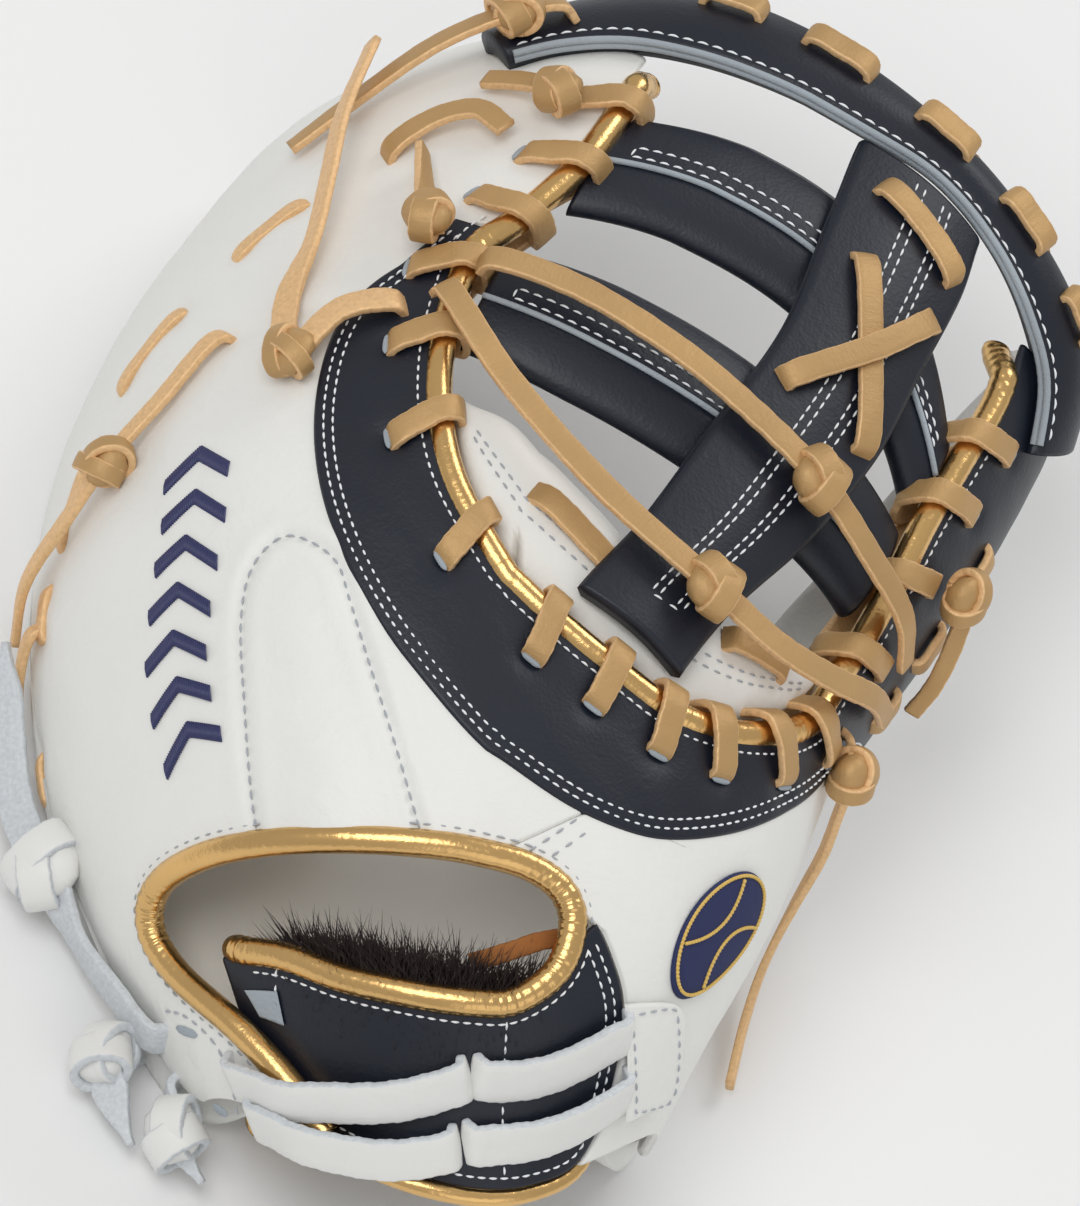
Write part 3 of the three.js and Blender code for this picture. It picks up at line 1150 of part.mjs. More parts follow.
for (const { name, run } of POST_LACES) add(name, lace(run.map(tieSpot), 2), RAWHIDE);

export default group;
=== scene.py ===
"""First baseman mitt, lying pocket down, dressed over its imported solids.

Shapes are worked out in the millimetres of the part's source: places on the back are s, the share of
the length from heel to web, and t, from -1 at the finger rim to 1 at the thumb rim.
"""

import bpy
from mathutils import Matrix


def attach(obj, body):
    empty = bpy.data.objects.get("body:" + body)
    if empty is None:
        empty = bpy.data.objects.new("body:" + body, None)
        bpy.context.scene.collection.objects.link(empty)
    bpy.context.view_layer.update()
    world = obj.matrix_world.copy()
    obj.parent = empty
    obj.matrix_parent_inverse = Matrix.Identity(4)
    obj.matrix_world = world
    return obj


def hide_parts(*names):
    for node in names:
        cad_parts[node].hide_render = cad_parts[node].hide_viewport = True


bl_info = {
    "name": "First Baseman Mitt",
    "version": (1, 0, 0),
    "blender": (4, 5, 0),
    "location": "View3D > Sidebar > Mitt",
    "description": "Leather, binding, laces, stitches and fur of a first baseman mitt",
    "category": "Object",
}

import bpy
import numpy as np
from mathutils import Matrix, Vector

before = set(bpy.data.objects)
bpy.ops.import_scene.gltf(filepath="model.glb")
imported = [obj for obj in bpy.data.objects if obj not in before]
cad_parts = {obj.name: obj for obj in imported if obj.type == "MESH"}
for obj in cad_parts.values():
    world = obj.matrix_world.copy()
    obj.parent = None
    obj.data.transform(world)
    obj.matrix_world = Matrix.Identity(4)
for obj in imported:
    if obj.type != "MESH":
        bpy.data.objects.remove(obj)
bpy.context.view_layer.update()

# Overall form, in millimetres and degrees, as in the part's source
WIDTH, LENGTH, HEIGHT = 250.0, 320.0, 104.0
FINGER_LEAN, THUMB_LEAN = np.radians(104), np.radians(112)
FINGER_FULLNESS, THUMB_FULLNESS = 2.05, 2.35
HEEL_REST_Y = 22.0
BACK_LEATHER, PALM_PAD, CROTCH_PAD, RIM_ROLL = 2.4, 9.0, 5.0, 8.0
HAND_ROOM, HEEL_TUCK = 26.0, 14.0
BINDING_RADIUS, CUFF_BINDING_RADIUS = 3.4, 3.1
LACE_THICK, LACE_SET_BACK = 2.0, 12.5
STRAP_THICK, HEEL_TIE_WIDTH = 2.2, 9.0
TAIL, BROAD_TAIL, BROAD_LACE = 40.0, 15.0, 8.0
BAR_THICK, BAR_CLEARANCE, POST_THICK, BAND_THICK = 10.0, 2.2, 6.6, 6.6
BINDING_DEPTH, FLAP_ROOM, GAP = 1.2, 4.9, 0.3
PALM_UNDER = BACK_LEATHER + 0.8
BINDING_CLEAR = BINDING_RADIUS + GAP
LACE_OVER = GAP + LACE_THICK / 2
FLANGE = 0.17

# Sections from heel to web: finger rim x, y, thumb rim x, y, crown, bow, finger belly, thumb belly
SECTIONS = np.array([
    (-0.211, 0.006, 0.196, 0.012, 0.47, -0.091, 0.108, 0.199),
    (-0.29, 0.106, 0.237, 0.082, 0.795, -0.038, 0.108, 0.289),
    (-0.353, 0.209, 0.282, 0.153, 0.913, -0.009, 0.108, 0.343),
    (-0.387, 0.32, 0.323, 0.229, 0.967, 0.006, 0.108, 0.362),
    (-0.395, 0.446, 0.365, 0.317, 0.994, 0.012, 0.108, 0.362),
    (-0.361, 0.588, 0.414, 0.382, 1.012, 0.021, 0.108, 0.38),
    (-0.278, 0.728, 0.474, 0.458, 1.012, 0.035, 0.127, 0.416),
    (-0.158, 0.849, 0.534, 0.546, 0.994, 0.05, 0.181, 0.47),
    (0.03, 0.911, 0.594, 0.652, 0.949, 0.065, 0.271, 0.542),
])

# Round the web opening, finger tip to thumb tip: edge s, t, rim s, t, room, sink, open, seam
HORSESHOE = np.array([
    (0.905, -0.2, 0.94, -0.6, 0.05, 0, 0, 0.86), (0.86, -0.165, 0.93, -0.79, 0.55, 0, 0, 0.86),
    (0.8, -0.15, 0.875, -0.94, 0.85, 0, 0, 0.86), (0.739, -0.17, 0.785, -1, 1, 0, 0, 0.86),
    (0.705, -0.195, 0.7, -1, 1, 0, 0, 0.86), (0.659, -0.183, 0.64, -1, 1, 0, 0, 0.86),
    (0.609, -0.162, 0.575, -1, 1, 0, 0, 0.86), (0.56, -0.133, 0.505, -1, 1, 0, 0, 0.86),
    (0.512, -0.092, 0.43, -1, 1, 0, 0, 0.87), (0.464, -0.03, 0.32, -1, 1, 0.1, 0, 0.88),
    (0.43, 0.022, 0.2, -1, 1, 0.3, 0, 0.89), (0.408, 0.08, 0.06, -1, 1, 0.7, 0, 0.91),
    (0.396, 0.125, 0.002, -0.86, 1, 1, 0.35, 0.95), (0.387, 0.165, 0.002, -0.45, 1, 1, 1, 0.95),
    (0.38, 0.205, 0.002, 0.03, 1, 1, 1, 0.95), (0.378, 0.25, 0.002, 0.48, 1, 1, 1, 0.95),
    (0.383, 0.3, 0.004, 0.86, 1, 1, 0.35, 0.95), (0.395, 0.36, 0.07, 1, 1, 0.7, 0, 0.91),
    (0.42, 0.435, 0.2, 1, 1, 0.3, 0, 0.88), (0.445, 0.49, 0.3, 1, 0.95, 0.1, 0, 0.86),
    (0.483, 0.53, 0.38, 1, 0.9, 0, 0, 0.84), (0.573, 0.536, 0.52, 1, 0.85, 0, 0, 0.83),
    (0.656, 0.522, 0.64, 1, 0.8, 0, 0, 0.83), (0.734, 0.494, 0.755, 1, 0.7, 0, 0, 0.83),
    (0.804, 0.483, 0.85, 0.96, 0.6, 0, 0, 0.83), (0.872, 0.473, 0.915, 0.86, 0.4, 0, 0, 0.83),
    (0.92, 0.435, 0.94, 0.7, 0.05, 0, 0, 0.83),
])
LAST_STATION = len(HORSESHOE) - 1

# Outer edge of the crotch panel: s, t, station across, finger seam, thumb seam
CROTCH_OUTER = np.array([
    (0.722, -0.24, 3.6, 3.6, 17), (0.69, -0.262, 4.6, 4.5, 17), (0.635, -0.308, 5.6, 5.4, 17),
    (0.56, -0.3, 6.8, 6.4, 17), (0.48, -0.258, 8, 7.3, 17), (0.4, -0.19, 9, 8.1, 17),
    (0.338, -0.105, 10, 8.7, 17.5), (0.283, 0.005, 11.3, 9.3, 18), (0.254, 0.13, 13.3, 9.75, 18.4),
    (0.258, 0.27, 15.6, 10, 19), (0.306, 0.423, 17.6, 10, 20.1), (0.395, 0.575, 19.2, 10, 20.8),
    (0.5, 0.72, 20.4, 10, 21.2), (0.6, 0.91, 21.5, 10, 21.7), (0.7, 0.912, 22.7, 10, 22.7),
    (0.8, 0.89, 24, 10, 24), (0.88, 0.904, 25.2, 10, 25.2), (0.93, 0.89, 26, 10, 26),
])
THUMB_SIDE_ROW = 12.9

# Bound edge of the hand opening: s, t, share on the strap, finger seam, thumb seam
CUFF_EDGE = np.array([
    (0.012, -0.36, 0, 11.95, 18.3), (0.034, -0.435, 0, 11.6, 18.3), (0.062, -0.537, 0, 11.25, 18.3),
    (0.093, -0.636, 0, 11, 18.3), (0.12, -0.69, 0, 10.85, 18.3), (0.151, -0.712, 0, 10.6, 18.3),
    (0.175, -0.685, 0, 10.45, 18.3), (0.189, -0.62, 0, 10.35, 18.3), (0.195, -0.517, 0, 10.3, 18.3),
    (0.197, -0.39, 0, 10.25, 18.3), (0.198, -0.26, 0, 10.2, 18.3), (0.2, -0.139, 0, 10.15, 18.3),
    (0.202, -0.021, 0, 10.05, 18.3), (0.199, 0.056, 0, 10.05, 18.2), (0.185, 0.112, 0, 10.05, 18.05),
    (0.16, 0.137, 0.3, 10.05, 17.9), (0.127, 0.122, 1, 10.05, 17.8), (0.105, 0.059, 1, 10.05, 17.8),
    (0.099, -0.013, 1, 10.05, 17.8), (0.098, -0.152, 1, 10.05, 17.8), (0.101, -0.296, 1, 10.05, 17.8),
    (0.112, -0.422, 1, 10.05, 17.8), (0.117, -0.5, 1, 10.05, 17.8),
])
CUFF_SEAM_ROW, CUFF_RIGHT_ROW = 12.5, 15.0

# Foot and end of the wrist strap: s, t, thumb seam
STRAP_OUTER = np.array([
    (0.012, -0.52, 16), (0.008, -0.36, 16), (0.006, -0.2, 16), (0.005, -0.04, 16), (0.005, 0.12, 16),
    (0.012, 0.25, 16.05), (0.04, 0.3, 16.4), (0.08, 0.3, 16.8), (0.114, 0.273, 17.15),
    (0.142, 0.225, 17.5), (0.166, 0.18, 17.75),
])

# Bars: name, then stations and bows of the top edge (left, right, bow) and the low edge
BARS = (
    ("web_bar_upper", (0.95, 24.2, 0.05), (2.45, 23.1, 0.034)),
    ("web_bar_middle", (3.25, 22.8, 0.01), (5.5, 21.35, -0.004)),
)
FOOT_BAR_TOP = np.array([
    (0.59, -0.115), (0.585, -0.04), (0.545, 0.06), (0.505, 0.17), (0.495, 0.3), (0.505, 0.41), (0.52, 0.49),
])
FOOT_BAR_ENDS = (6.7, 20.2)

# Rails of the post and the top band: left or inner s, t, right or outer s, t
POST = np.array([
    (0.926, 0.06, 0.934, 0.27), (0.86, 0.1, 0.885, 0.305), (0.754, 0.14, 0.81, 0.325),
    (0.64, 0.135, 0.71, 0.345), (0.534, 0.113, 0.58, 0.32), (0.45, 0.065, 0.408, 0.222),
])
BAND = np.array([
    (0.862, -0.335, 0.89, -0.43), (0.883, -0.29, 0.945, -0.44), (0.9, -0.23, 0.985, -0.4),
    (0.91, -0.15, 0.99, -0.27), (0.918, -0.06, 0.985, -0.12), (0.928, 0.05, 0.982, 0.03),
    (0.94, 0.16, 0.982, 0.16), (0.938, 0.29, 0.982, 0.32), (0.928, 0.41, 0.984, 0.47),
    (0.912, 0.52, 0.984, 0.62), (0.875, 0.6, 0.955, 0.76),
])

# Stations of the web lace's turns, and how far each leans
LOOPS = (1.1, 2.05, 2.95, 4.3, 5.5, 6.9, 8.6, 10.3, 12, 14.2, 16, 17.7, 19.5, 20.9, 22.15, 23.3, 24.3)
LOOP_SLANT = 0.3
# Slits of the running laces: s, t, and stations along the band
FINGER_LACE = (
    (0.734, -0.481), (0.695, -0.539), (0.657, -0.6), (0.61, -0.674), (0.559, -0.707), (0.505, -0.756),
    (0.479, -0.796), (0.445, -0.82), (0.36, -0.9), (0.325, -0.93),
)
THUMB_LACE = ((0.8, 0.7), (0.755, 0.715), (0.71, 0.725), (0.665, 0.735), (0.62, 0.74), (0.575, 0.745))
BAND_STITCHES = (0.3, 0.36, 0.42, 0.48, 0.54, 0.6, 0.66, 0.72, 0.79, 0.85)

# White straps over the wrist strap: s, t, height above the back
STRAPS = {
    "lacing_strap_upper": (
        (0.036, -0.6, 0.2), (0.032, -0.5, 1.6), (0.03, -0.42, 2.4), (0.034, -0.33, 1.2),
        (0.038, -0.24, 0.0), (0.044, -0.15, -0.6), (0.052, -0.07, -0.6), (0.06, -0.004, -0.4),
        (0.0615, 0.045, -0.2), (0.0655, 0.115, 0.0), (0.075, 0.19, 0.3), (0.087, 0.255, 0.6),
        (0.097, 0.31, 0.6),
    ),
    "lacing_strap_lower": (
        (0.008, -0.57, 0.2), (0.007, -0.48, 1.6), (0.006, -0.4, 2.4), (0.007, -0.31, 0.8),
        (0.011, -0.2, -0.4), (0.018, -0.1, -0.6), (0.027, -0.004, -0.4), (0.0295, 0.05, -0.2),
        (0.032, 0.125, 0.0), (0.039, 0.215, 0.4), (0.051, 0.305, 0.6), (0.058, 0.35, 0.3),
    ),
}
# Low and high row of the straps' tab: left s, t, right s, t
STRAP_TAB = np.array([(0.112, 0.262, 0.124, 0.43), (0.036, 0.355, 0.05, 0.55)])
# Patch: middle s, t, half length, half width, turn
PATCH_PLACE = (0.203, 0.472, 19.0, 11.0, 1.09)
# Its section from the underside to the top: share of the radius, height
PATCH_DOME = (
    (0.02, 0.0), (0.5, 0.0), (0.96, 0.1), (1.0, 0.6), (0.97, 1.5), (0.8, 1.75), (0.4, 1.85), (0.02, 1.9),
)

# Lace ends: the knot's row, or -1, its length, width and height, and the run. A row of a run is
# (s, t, lift, roll) on the back or ("xyz", x, y, z, face) beside the mitt
TIES = {
    "tie_upper": (4, (15, 12, 9), (
        (0.685, -0.155, 7.2, 0), (0.69, -0.05, 5.4, 0), (0.68, 0.06, 6.4, 0), (0.665, 0.16, 8, 0),
        (0.645, 0.273, 10.8, 0), (0.628, 0.4, 9, 0), (0.62, 0.52, 8.2, 0), (0.614, 0.63, 4.2, 0),
    )),
    "tie_lower": (3, (15, 12, 9), (
        (0.654, -0.185, 7.4, 0), (0.6, -0.07, 5.2, 0), (0.535, 0.06, 7, 0), (0.484, 0.21, 11, 0),
        (0.47, 0.33, 9.4, 0), (0.485, 0.45, 8.4, 0), (0.52, 0.56, 8.2, 0), (0.564, 0.69, 4.2, 0),
    )),
    "tip_tie": (1, (14, 11, 8), (
        (0.905, -0.33, 10.5, 0), (0.884, -0.355, 12, 0), (0.855, -0.42, 9.4, 0), (0.82, -0.5, 4.4, 0),
        (0.785, -0.565, 3, 0),
    )),
    "tip_loop": (-1, None, (
        (0.775, -0.39, 1.8, 0), (0.798, -0.35, 4.2, 0), (0.806, -0.3, 5.4, 0), (0.795, -0.25, 5.2, 0),
    )),
    "tip_short_tie": (0, (12, 10, 8), (
        (0.828, -0.215, 8.6, 0), (0.838, -0.28, 5, 0), (0.842, -0.34, 2.6, 0),
    )),
    "tip_upright_tie": (0, (12, 10, 8), (
        (0.703, -0.25, 8.2, 0), (0.735, -0.29, 6.2, 60), (0.766, -0.328, 5.4, 80),
    )),
    "finger_tie": (2, (14, 12, 8), (
        (0.643, -0.246, 3.6, 0), (0.628, -0.3, 5.4, 0), (0.592, -0.345, 5.2, 0), (0.64, -0.39, 2.6, 0),
        ("xyz", -49.7, 181.5, 87, 180), ("xyz", -45.9, 200.1, 86, 180), ("xyz", -42.2, 218.8, 84, 180),
        ("xyz", -33.5, 243.9, 79, 180),
    )),
    "side_tie": (2, (14, 12, 9), (
        (0.617, -0.479, 2, 0), (0.57, -0.54, 3.4, 0), (0.532, -0.607, 5.4, 0), (0.505, -0.68, 5, 0),
        (0.482, -0.8, 5, 0), (0.46, -0.9, 3.4, 0),
    )),
    "side_tail": (-1, None, ((0.45, -0.825, 1.8, 0), (0.425, -0.88, 3, 0), (0.4, -0.94, 3, 0))),
    "thumb_tie": (1, (13, 11, 9), (
        (0.49, 0.63, 2.2, 0), (0.455, 0.645, 5.6, 0), ("xyz", 89, 65.5, 49, 0), ("xyz", 89.6, 63, 34, 0),
        ("xyz", 86.6, 56.3, 20, 0), ("xyz", 82, 45, 10, 0), ("xyz", 78.5, 32, 5.4, 0),
        ("xyz", 74.6, 14, 4.4, 0),
    )),
    "thumb_side_tie": (0, (13, 11, 8), (
        (0.71, 0.61, 8.6, 0), (0.69, 0.68, 7.6, 50), (0.665, 0.76, 6.6, 70), (0.645, 0.8, 5.4, 70),
    )),
}
HEEL_TIES = {
    "heel_side_tie": (3, (20, 15, 10), (
        (0.09, -0.83, 2.4, 0), (0.135, -0.86, 3, 0), (0.19, -0.9, 3.6, 0), ("xyz", -95, 44, 13, 180),
        ("xyz", -101, 62, 9, 180), ("xyz", -104.5, 82, 12, 180), ("xyz", -106.6, 101, 18, 180),
    )),
    "heel_outer_tie": (1, (15, 14, 10), (
        (0.105, -0.96, 2.8, 0), ("xyz", -79, -1, 9.5, 200), ("xyz", -76, -11, 7, 215),
        ("xyz", -71, -22, 5.4, 230),
    )),
    "heel_inner_tie": (1, (15, 14, 10), (
        (0.05, -0.9, 2.6, 0), ("xyz", -62, -19, 9, 230), ("xyz", -58, -25, 7, 240),
        ("xyz", -54, -30, 6.4, 240),
    )),
}
# Laces that end with their suede side out, and the widths of the finger tie's knot and of the finger lace
SUEDE_OUT = ("finger_tie", "thumb_tie", "side_tail", "side_tie")
FINGER_TIE_WIDTH = 4.8
NARROW_LACE = 4.4
# Short laces through the post and the foot bar: s, t, lift, roll
POST_LACES = {
    "post_cross_down": ((0.838, 0.168, 6.2, 0), (0.778, 0.24, 6.9, 0), (0.713, 0.309, 6.2, 0)),
    "post_cross_up": ((0.716, 0.18, 6, 0), (0.778, 0.24, 9.4, 0), (0.84, 0.283, 6.6, 0)),
    "post_tip_lace": ((0.9, 0.13, 6, 0), (0.895, 0.2, 6.8, 0), (0.887, 0.265, 6.2, 0)),
    "foot_bar_lace": ((0.474, 0.3, 0, 0), (0.478, 0.35, 0.3, 0), (0.48, 0.4, 0, 0)),
}
# The stitched pad over the knuckle, an arch open towards the cuff
KNUCKLE_PAD = np.array([
    (0.207, -0.393), (0.26, -0.385), (0.314, -0.379), (0.382, -0.377), (0.423, -0.361), (0.447, -0.325),
    (0.449, -0.288), (0.43, -0.236), (0.396, -0.212), (0.329, -0.172), (0.264, -0.134), (0.21, -0.104),
])

# Where the row of chevrons runs down the finger back
CHEVRON_LINE = np.array([
    (0.56, -0.47), (0.5, -0.455), (0.44, -0.47), (0.38, -0.49), (0.31, -0.485), (0.26, -0.46),
])
# Rows of stitches on the cuff: down the strap, beside its left end, round the tab, across the flap
STRAP_MIDDLE_SEAM = np.array([(0.093, 0.042), (0.07, 0.045), (0.041, 0.051), (0.012, 0.064)])
STRAP_LEFT_SEAM = np.array([(0.107, -0.438), (0.098, -0.45), (0.086, -0.46)])
TAB_SEAM = np.array([
    (0.107, 0.29), (0.117, 0.39), (0.108, 0.42), (0.062, 0.515), (0.05, 0.515), (0.046, 0.48), (0.043, 0.375),
    (0.05, 0.36), (0.1, 0.288), (0.107, 0.29),
])
FLAP_SEAM = np.array([(0.1, -0.77), (0.085, -0.7), (0.06, -0.64), (0.035, -0.63), (0.006, -0.66)])
FLAP_SLOTS = (((0.083, -0.755), (0.07, -0.69)), ((0.018, -0.764), (0.008, -0.71)))
THUMB_CUFF_SEAM = np.array([(0.245, 0.128), (0.222, 0.09), (0.203, 0.055)])
# Ends of the wrist strap's two edges and its binding, under the flap
STRAP_HIDDEN_ENDS = np.array([(0.118, -0.58), (0.03, -0.58), (0.123, -0.583)])
# The strip inside the cuff and the foot bar's lace end: s, t, depth
TAN_STRIP = np.array([
    (0.122, 0.0, 9.0), (0.128, 0.02, 6.5), (0.136, 0.055, 6.0), (0.145, 0.095, 6.0), (0.15, 0.13, 7.0),
])
FOOT_BAR_END = np.array([
    (0.53, 0.0, 5.0), (0.522, 0.015, 0.6), (0.498, 0.067, 0.2), (0.473, 0.13, 0.8), (0.462, 0.16, 2.6),
])
# The small tab's left and right side, top and foot
LABEL_TAB = np.array([((0.092, -0.54), (0.074, -0.515)), ((0.09, -0.45), (0.069, -0.45))])
# Where a white strap tucks through the wrist strap
TUCK_T = 0.004

# A strand is drawn a few times as thick as a real one, so that it shows
FUR_STRANDS, STRAND_RADIUS = 7000, 0.27

rng = np.random.default_rng(7)


# Curves and the surface of the back

def column(table, index, place):
    """Catmull-Rom spline through one column of a table, read at fractional rows."""
    values = np.asarray(table, float)[:, index]
    ends = np.concatenate([[2 * values[0] - values[1]], values, [2 * values[-1] - values[-2]]])
    place = np.clip(np.asarray(place, float), 0, len(values) - 1)
    row = np.minimum(np.floor(place).astype(int), len(values) - 2)
    f = place - row
    a, b, c, d = ends[row], ends[row + 1], ends[row + 2], ends[row + 3]
    return b + 0.5 * f * (c - a + f * (2 * a - 5 * b + 4 * c - d + f * (3 * (b - c) + d - a)))


def unit(v):
    """Each vector over its own length."""
    return v / np.maximum(np.linalg.norm(v, axis=-1, keepdims=True), 1e-9)


def smoothstep(x, low, high):
    """0 below low, 1 above high, and 3k^2 - 2k^3 between."""
    k = np.clip((np.asarray(x, float) - low) / (high - low), 0, 1)
    return k * k * (3 - 2 * k)


def back(s, t):
    """Point of the back: a superellipse arch |cos|^(2/n) over a chord, curling in under the belly."""
    s, t = np.broadcast_arrays(np.asarray(s, float), np.asarray(t, float))
    row = np.clip(s, 0, 1) * (len(SECTIONS) - 1)
    at = [column(SECTIONS, k, row) for k in range(8)]
    finger = t < 0
    lean = np.where(finger, FINGER_LEAN, THUMB_LEAN)
    power = 2 / np.where(finger, FINGER_FULLNESS, THUMB_FULLNESS)
    belly = HEIGHT * np.where(finger, at[6], at[7])
    across, rise = np.sin(t * lean), np.cos(t * lean)
    u = np.sign(across) * np.abs(across) ** power
    arch = belly + (HEIGHT * at[4] - belly) * np.maximum(rise, 0) ** power
    z = np.where(rise > 0, arch, belly + belly * rise / np.abs(np.cos(lean)))
    x0, y0 = WIDTH * at[0], LENGTH * at[1]
    dx, dy = WIDTH * at[2] - x0, LENGTH * at[3] - y0
    size = np.hypot(dx, dy)
    bow = LENGTH * at[5] * (1 - u * u)
    return np.stack([x0 + dx * (1 + u) / 2 - dy / size * bow, y0 + dy * (1 + u) / 2 + dx / size * bow, z], -1)


def slopes(s, t):
    """The back's two slopes and its outward normal, by central differences."""
    e = 0.002
    s0, t0 = np.clip(s, e, 1 - e), np.clip(t, e - 1, 1 - e)
    along_s = (back(s0 + e, t0) - back(s0 - e, t0)) / (2 * e)
    along_t = (back(s0, t0 + e) - back(s0, t0 - e)) / (2 * e)
    return along_s, along_t, unit(np.cross(along_t, along_s))


def skin(s, t, depth):
    """Point under the back: the back less its normal times a depth."""
    return back(s, t) - slopes(s, t)[2] * np.asarray(depth, float)[..., None]


def slide(place, tangent, distance):
    """Moves places (s, t) over the back by a distance to the right of a tangent: the step in s and t
    solves the two slopes' normal equations."""
    along_s, along_t, normal = slopes(place[..., 0], place[..., 1])
    side = unit(np.cross(unit(tangent), normal)) * np.asarray(distance, float)[..., None]
    ss, st, tt = ((a * b).sum(-1) for a, b in ((along_s, along_s), (along_s, along_t), (along_t, along_t)))
    bs, bt = (side * along_s).sum(-1), (side * along_t).sum(-1)
    det = ss * tt - st * st
    return place + np.stack([(bs * tt - bt * st) / det, (bt * ss - bs * st) / det], -1)


def shift(line, distance):
    """A path moved sideways over the back by a distance."""
    points = back(line[:, 0], line[:, 1])
    before, after = np.roll(points, 1, 0), np.roll(points, -1, 0)
    before[0], after[-1] = points[0], points[-1]
    return slide(line, after - before, np.full(len(line), distance))


def path(table, start, end, count, first=0):
    """A smooth path through columns first and first + 1 of a table."""
    return places(table, np.linspace(start, end, count), first)


def whole_path(table, count):
    """The path through all the rows of a table."""
    return path(table, 0, len(table) - 1, count)


def run_along(points):
    """Length from a line's start to each of its points."""
    return np.concatenate([[0], np.cumsum(np.linalg.norm(np.diff(points, axis=0), axis=1))])


def places(table, rows, first=0):
    """Places s, t at fractional rows of a table, from columns first and first + 1."""
    return np.stack([column(table, first, rows), column(table, first + 1, rows)], -1)


def edge_place(station, outward):
    """A place beside the edge of the web opening, outward over the back or, if negative, into the web."""
    station = np.asarray(station, float)
    before, here, after = (places(HORSESHOE, station + step) for step in (-0.1, 0, 0.1))
    tangent = back(after[..., 0], after[..., 1]) - back(before[..., 0], before[..., 1])
    return slide(here, tangent, np.broadcast_to(outward, station.shape))


def resample(line, spacing):
    """A path of places at equal real distances over the back."""
    points = back(line[:, 0], line[:, 1])
    run = run_along(points)
    at = np.linspace(0, run[-1], max(2, int(round(run[-1] / spacing)) + 1))
    return np.stack([np.interp(at, run, line[:, k]) for k in (0, 1)], -1)


def near(points, line):
    """Distance from each point to a polyline: the least over its straight lengths."""
    least = np.full(points.shape[:-1], 1e9)
    for a, b in zip(line[:-1], line[1:]):
        d = b - a
        f = np.clip(((points - a) @ d) / max(d @ d, 1e-9), 0, 1)
        least = np.minimum(least, np.linalg.norm(points - a - f[..., None] * d, axis=-1))
    return least


def strap_depth(t):
    """How far the wrist strap lies under the back: full at the flap, none at its stitched end."""
    return FLAP_ROOM * (1 - smoothstep(t, -0.4, 0.1))


# Palm

def palm_place(station, u):
    """Place of the palm: from the web edge (0) past the outer seam (1) to the rim (2)."""
    at = [column(HORSESHOE, k, station) for k in range(8)]
    share = np.where(u <= 1, u * at[7], at[7] + (1 - at[7]) * (u - 1))
    from_tip = np.minimum(station, LAST_STATION - station)
    bulge = 0.03 * np.maximum(0, 1 - from_tip / 2) * np.sin(np.pi * share)
    edge = edge_place(station, BINDING_CLEAR)
    s = edge[..., 0] + (at[2] - edge[..., 0]) * share + bulge
    t = edge[..., 1] + (at[3] - edge[..., 1]) * share
    return s, t, at[4], at[5], at[6]


def palm_point(station, u, under):
    """Palm leather: hand room sin^0.75 deep under the back, a pad under that, and a flat heel."""
    s, t, room, sink, open_ = palm_place(station, u)
    hollow = np.sin(np.pi * np.clip((u - FLANGE) / (1 - FLANGE), 0, 1)) ** 0.75
    arch = np.where(u <= 1, hollow + (smoothstep(u, FLANGE, 0.62) - hollow) * open_, open_)
    top = np.where(u <= 1, PALM_UNDER, PALM_UNDER * open_) + HAND_ROOM * room * arch
    pad = CROTCH_PAD + (PALM_PAD - CROTCH_PAD) * smoothstep(u, FLANGE, 0.5)
    roll = PALM_UNDER + RIM_ROLL + (CROTCH_PAD - RIM_ROLL) * (u - 1)
    bottom = np.where(u <= 1, top + pad, np.maximum(top + pad, roll))
    share = sink * smoothstep(u, 0.2, 1) ** 1.2
    point = skin(s, t, bottom if under else top)
    k = share * (1 - smoothstep(np.abs(t), 0.62, 0.92))
    point[..., 1] += HEEL_TUCK * share * np.cos(t * np.pi / 2) ** 2
    point[..., 2] = np.maximum(point[..., 2] + ((0 if under else PALM_PAD) - point[..., 2]) * k, 0)
    return point


# Meshes

def hex_colour(code):
    """Linear colour of an sRGB hex value; a colour that is linear already stays."""
    if not isinstance(code, str):
        return tuple(code)
    v = np.array([int(code[k:k + 2], 16) / 255 for k in (1, 3, 5)])
    return (*np.where(v <= 0.04045, v / 12.92, ((v + 0.055) / 1.055) ** 2.4), 1.0)


def build(name, points, faces, material, replaces=(), slot=None, fields=None, uv=None, cad=True):
    """One object from points in millimetres and faces, with per-point fields and a UV per point."""
    world = (points.reshape(-1, 3) - np.array([0, HEEL_REST_Y, 0])) * 0.001 if cad else points
    mesh = bpy.data.meshes.new(name)
    loops = np.concatenate([f.ravel() for f in faces]).astype(np.int32)
    sizes = np.concatenate([np.full(len(f), f.shape[1]) for f in faces]).astype(np.int32)
    mesh.vertices.add(len(world))
    mesh.vertices.foreach_set("co", world.astype(np.float32).ravel())
    mesh.loops.add(len(loops))
    mesh.loops.foreach_set("vertex_index", loops)
    mesh.polygons.add(len(sizes))
    mesh.polygons.foreach_set("loop_start", np.concatenate([[0], np.cumsum(sizes)[:-1]]).astype(np.int32))
    mesh.polygons.foreach_set("use_smooth", np.ones(len(sizes), bool))
    for key, values in (fields or {}).items():
        layer = mesh.attributes.new(key, "FLOAT", "POINT")
        layer.data.foreach_set("value", np.asarray(values, np.float32).ravel())
    if uv is not None:
        layer = mesh.uv_layers.new(name="UVMap")
        layer.data.foreach_set("uv", (uv.reshape(-1, 2)[loops] * 0.001).astype(np.float32).ravel())
    mesh.update(calc_edges=True)
    mesh.validate()
    piece = bpy.data.objects.new(name, mesh)
    bpy.context.scene.collection.objects.link(piece)
    mesh.materials.append(material)
    if slot is not None:
        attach(piece, "root")
    if replaces:
        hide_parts(*replaces)
    return piece


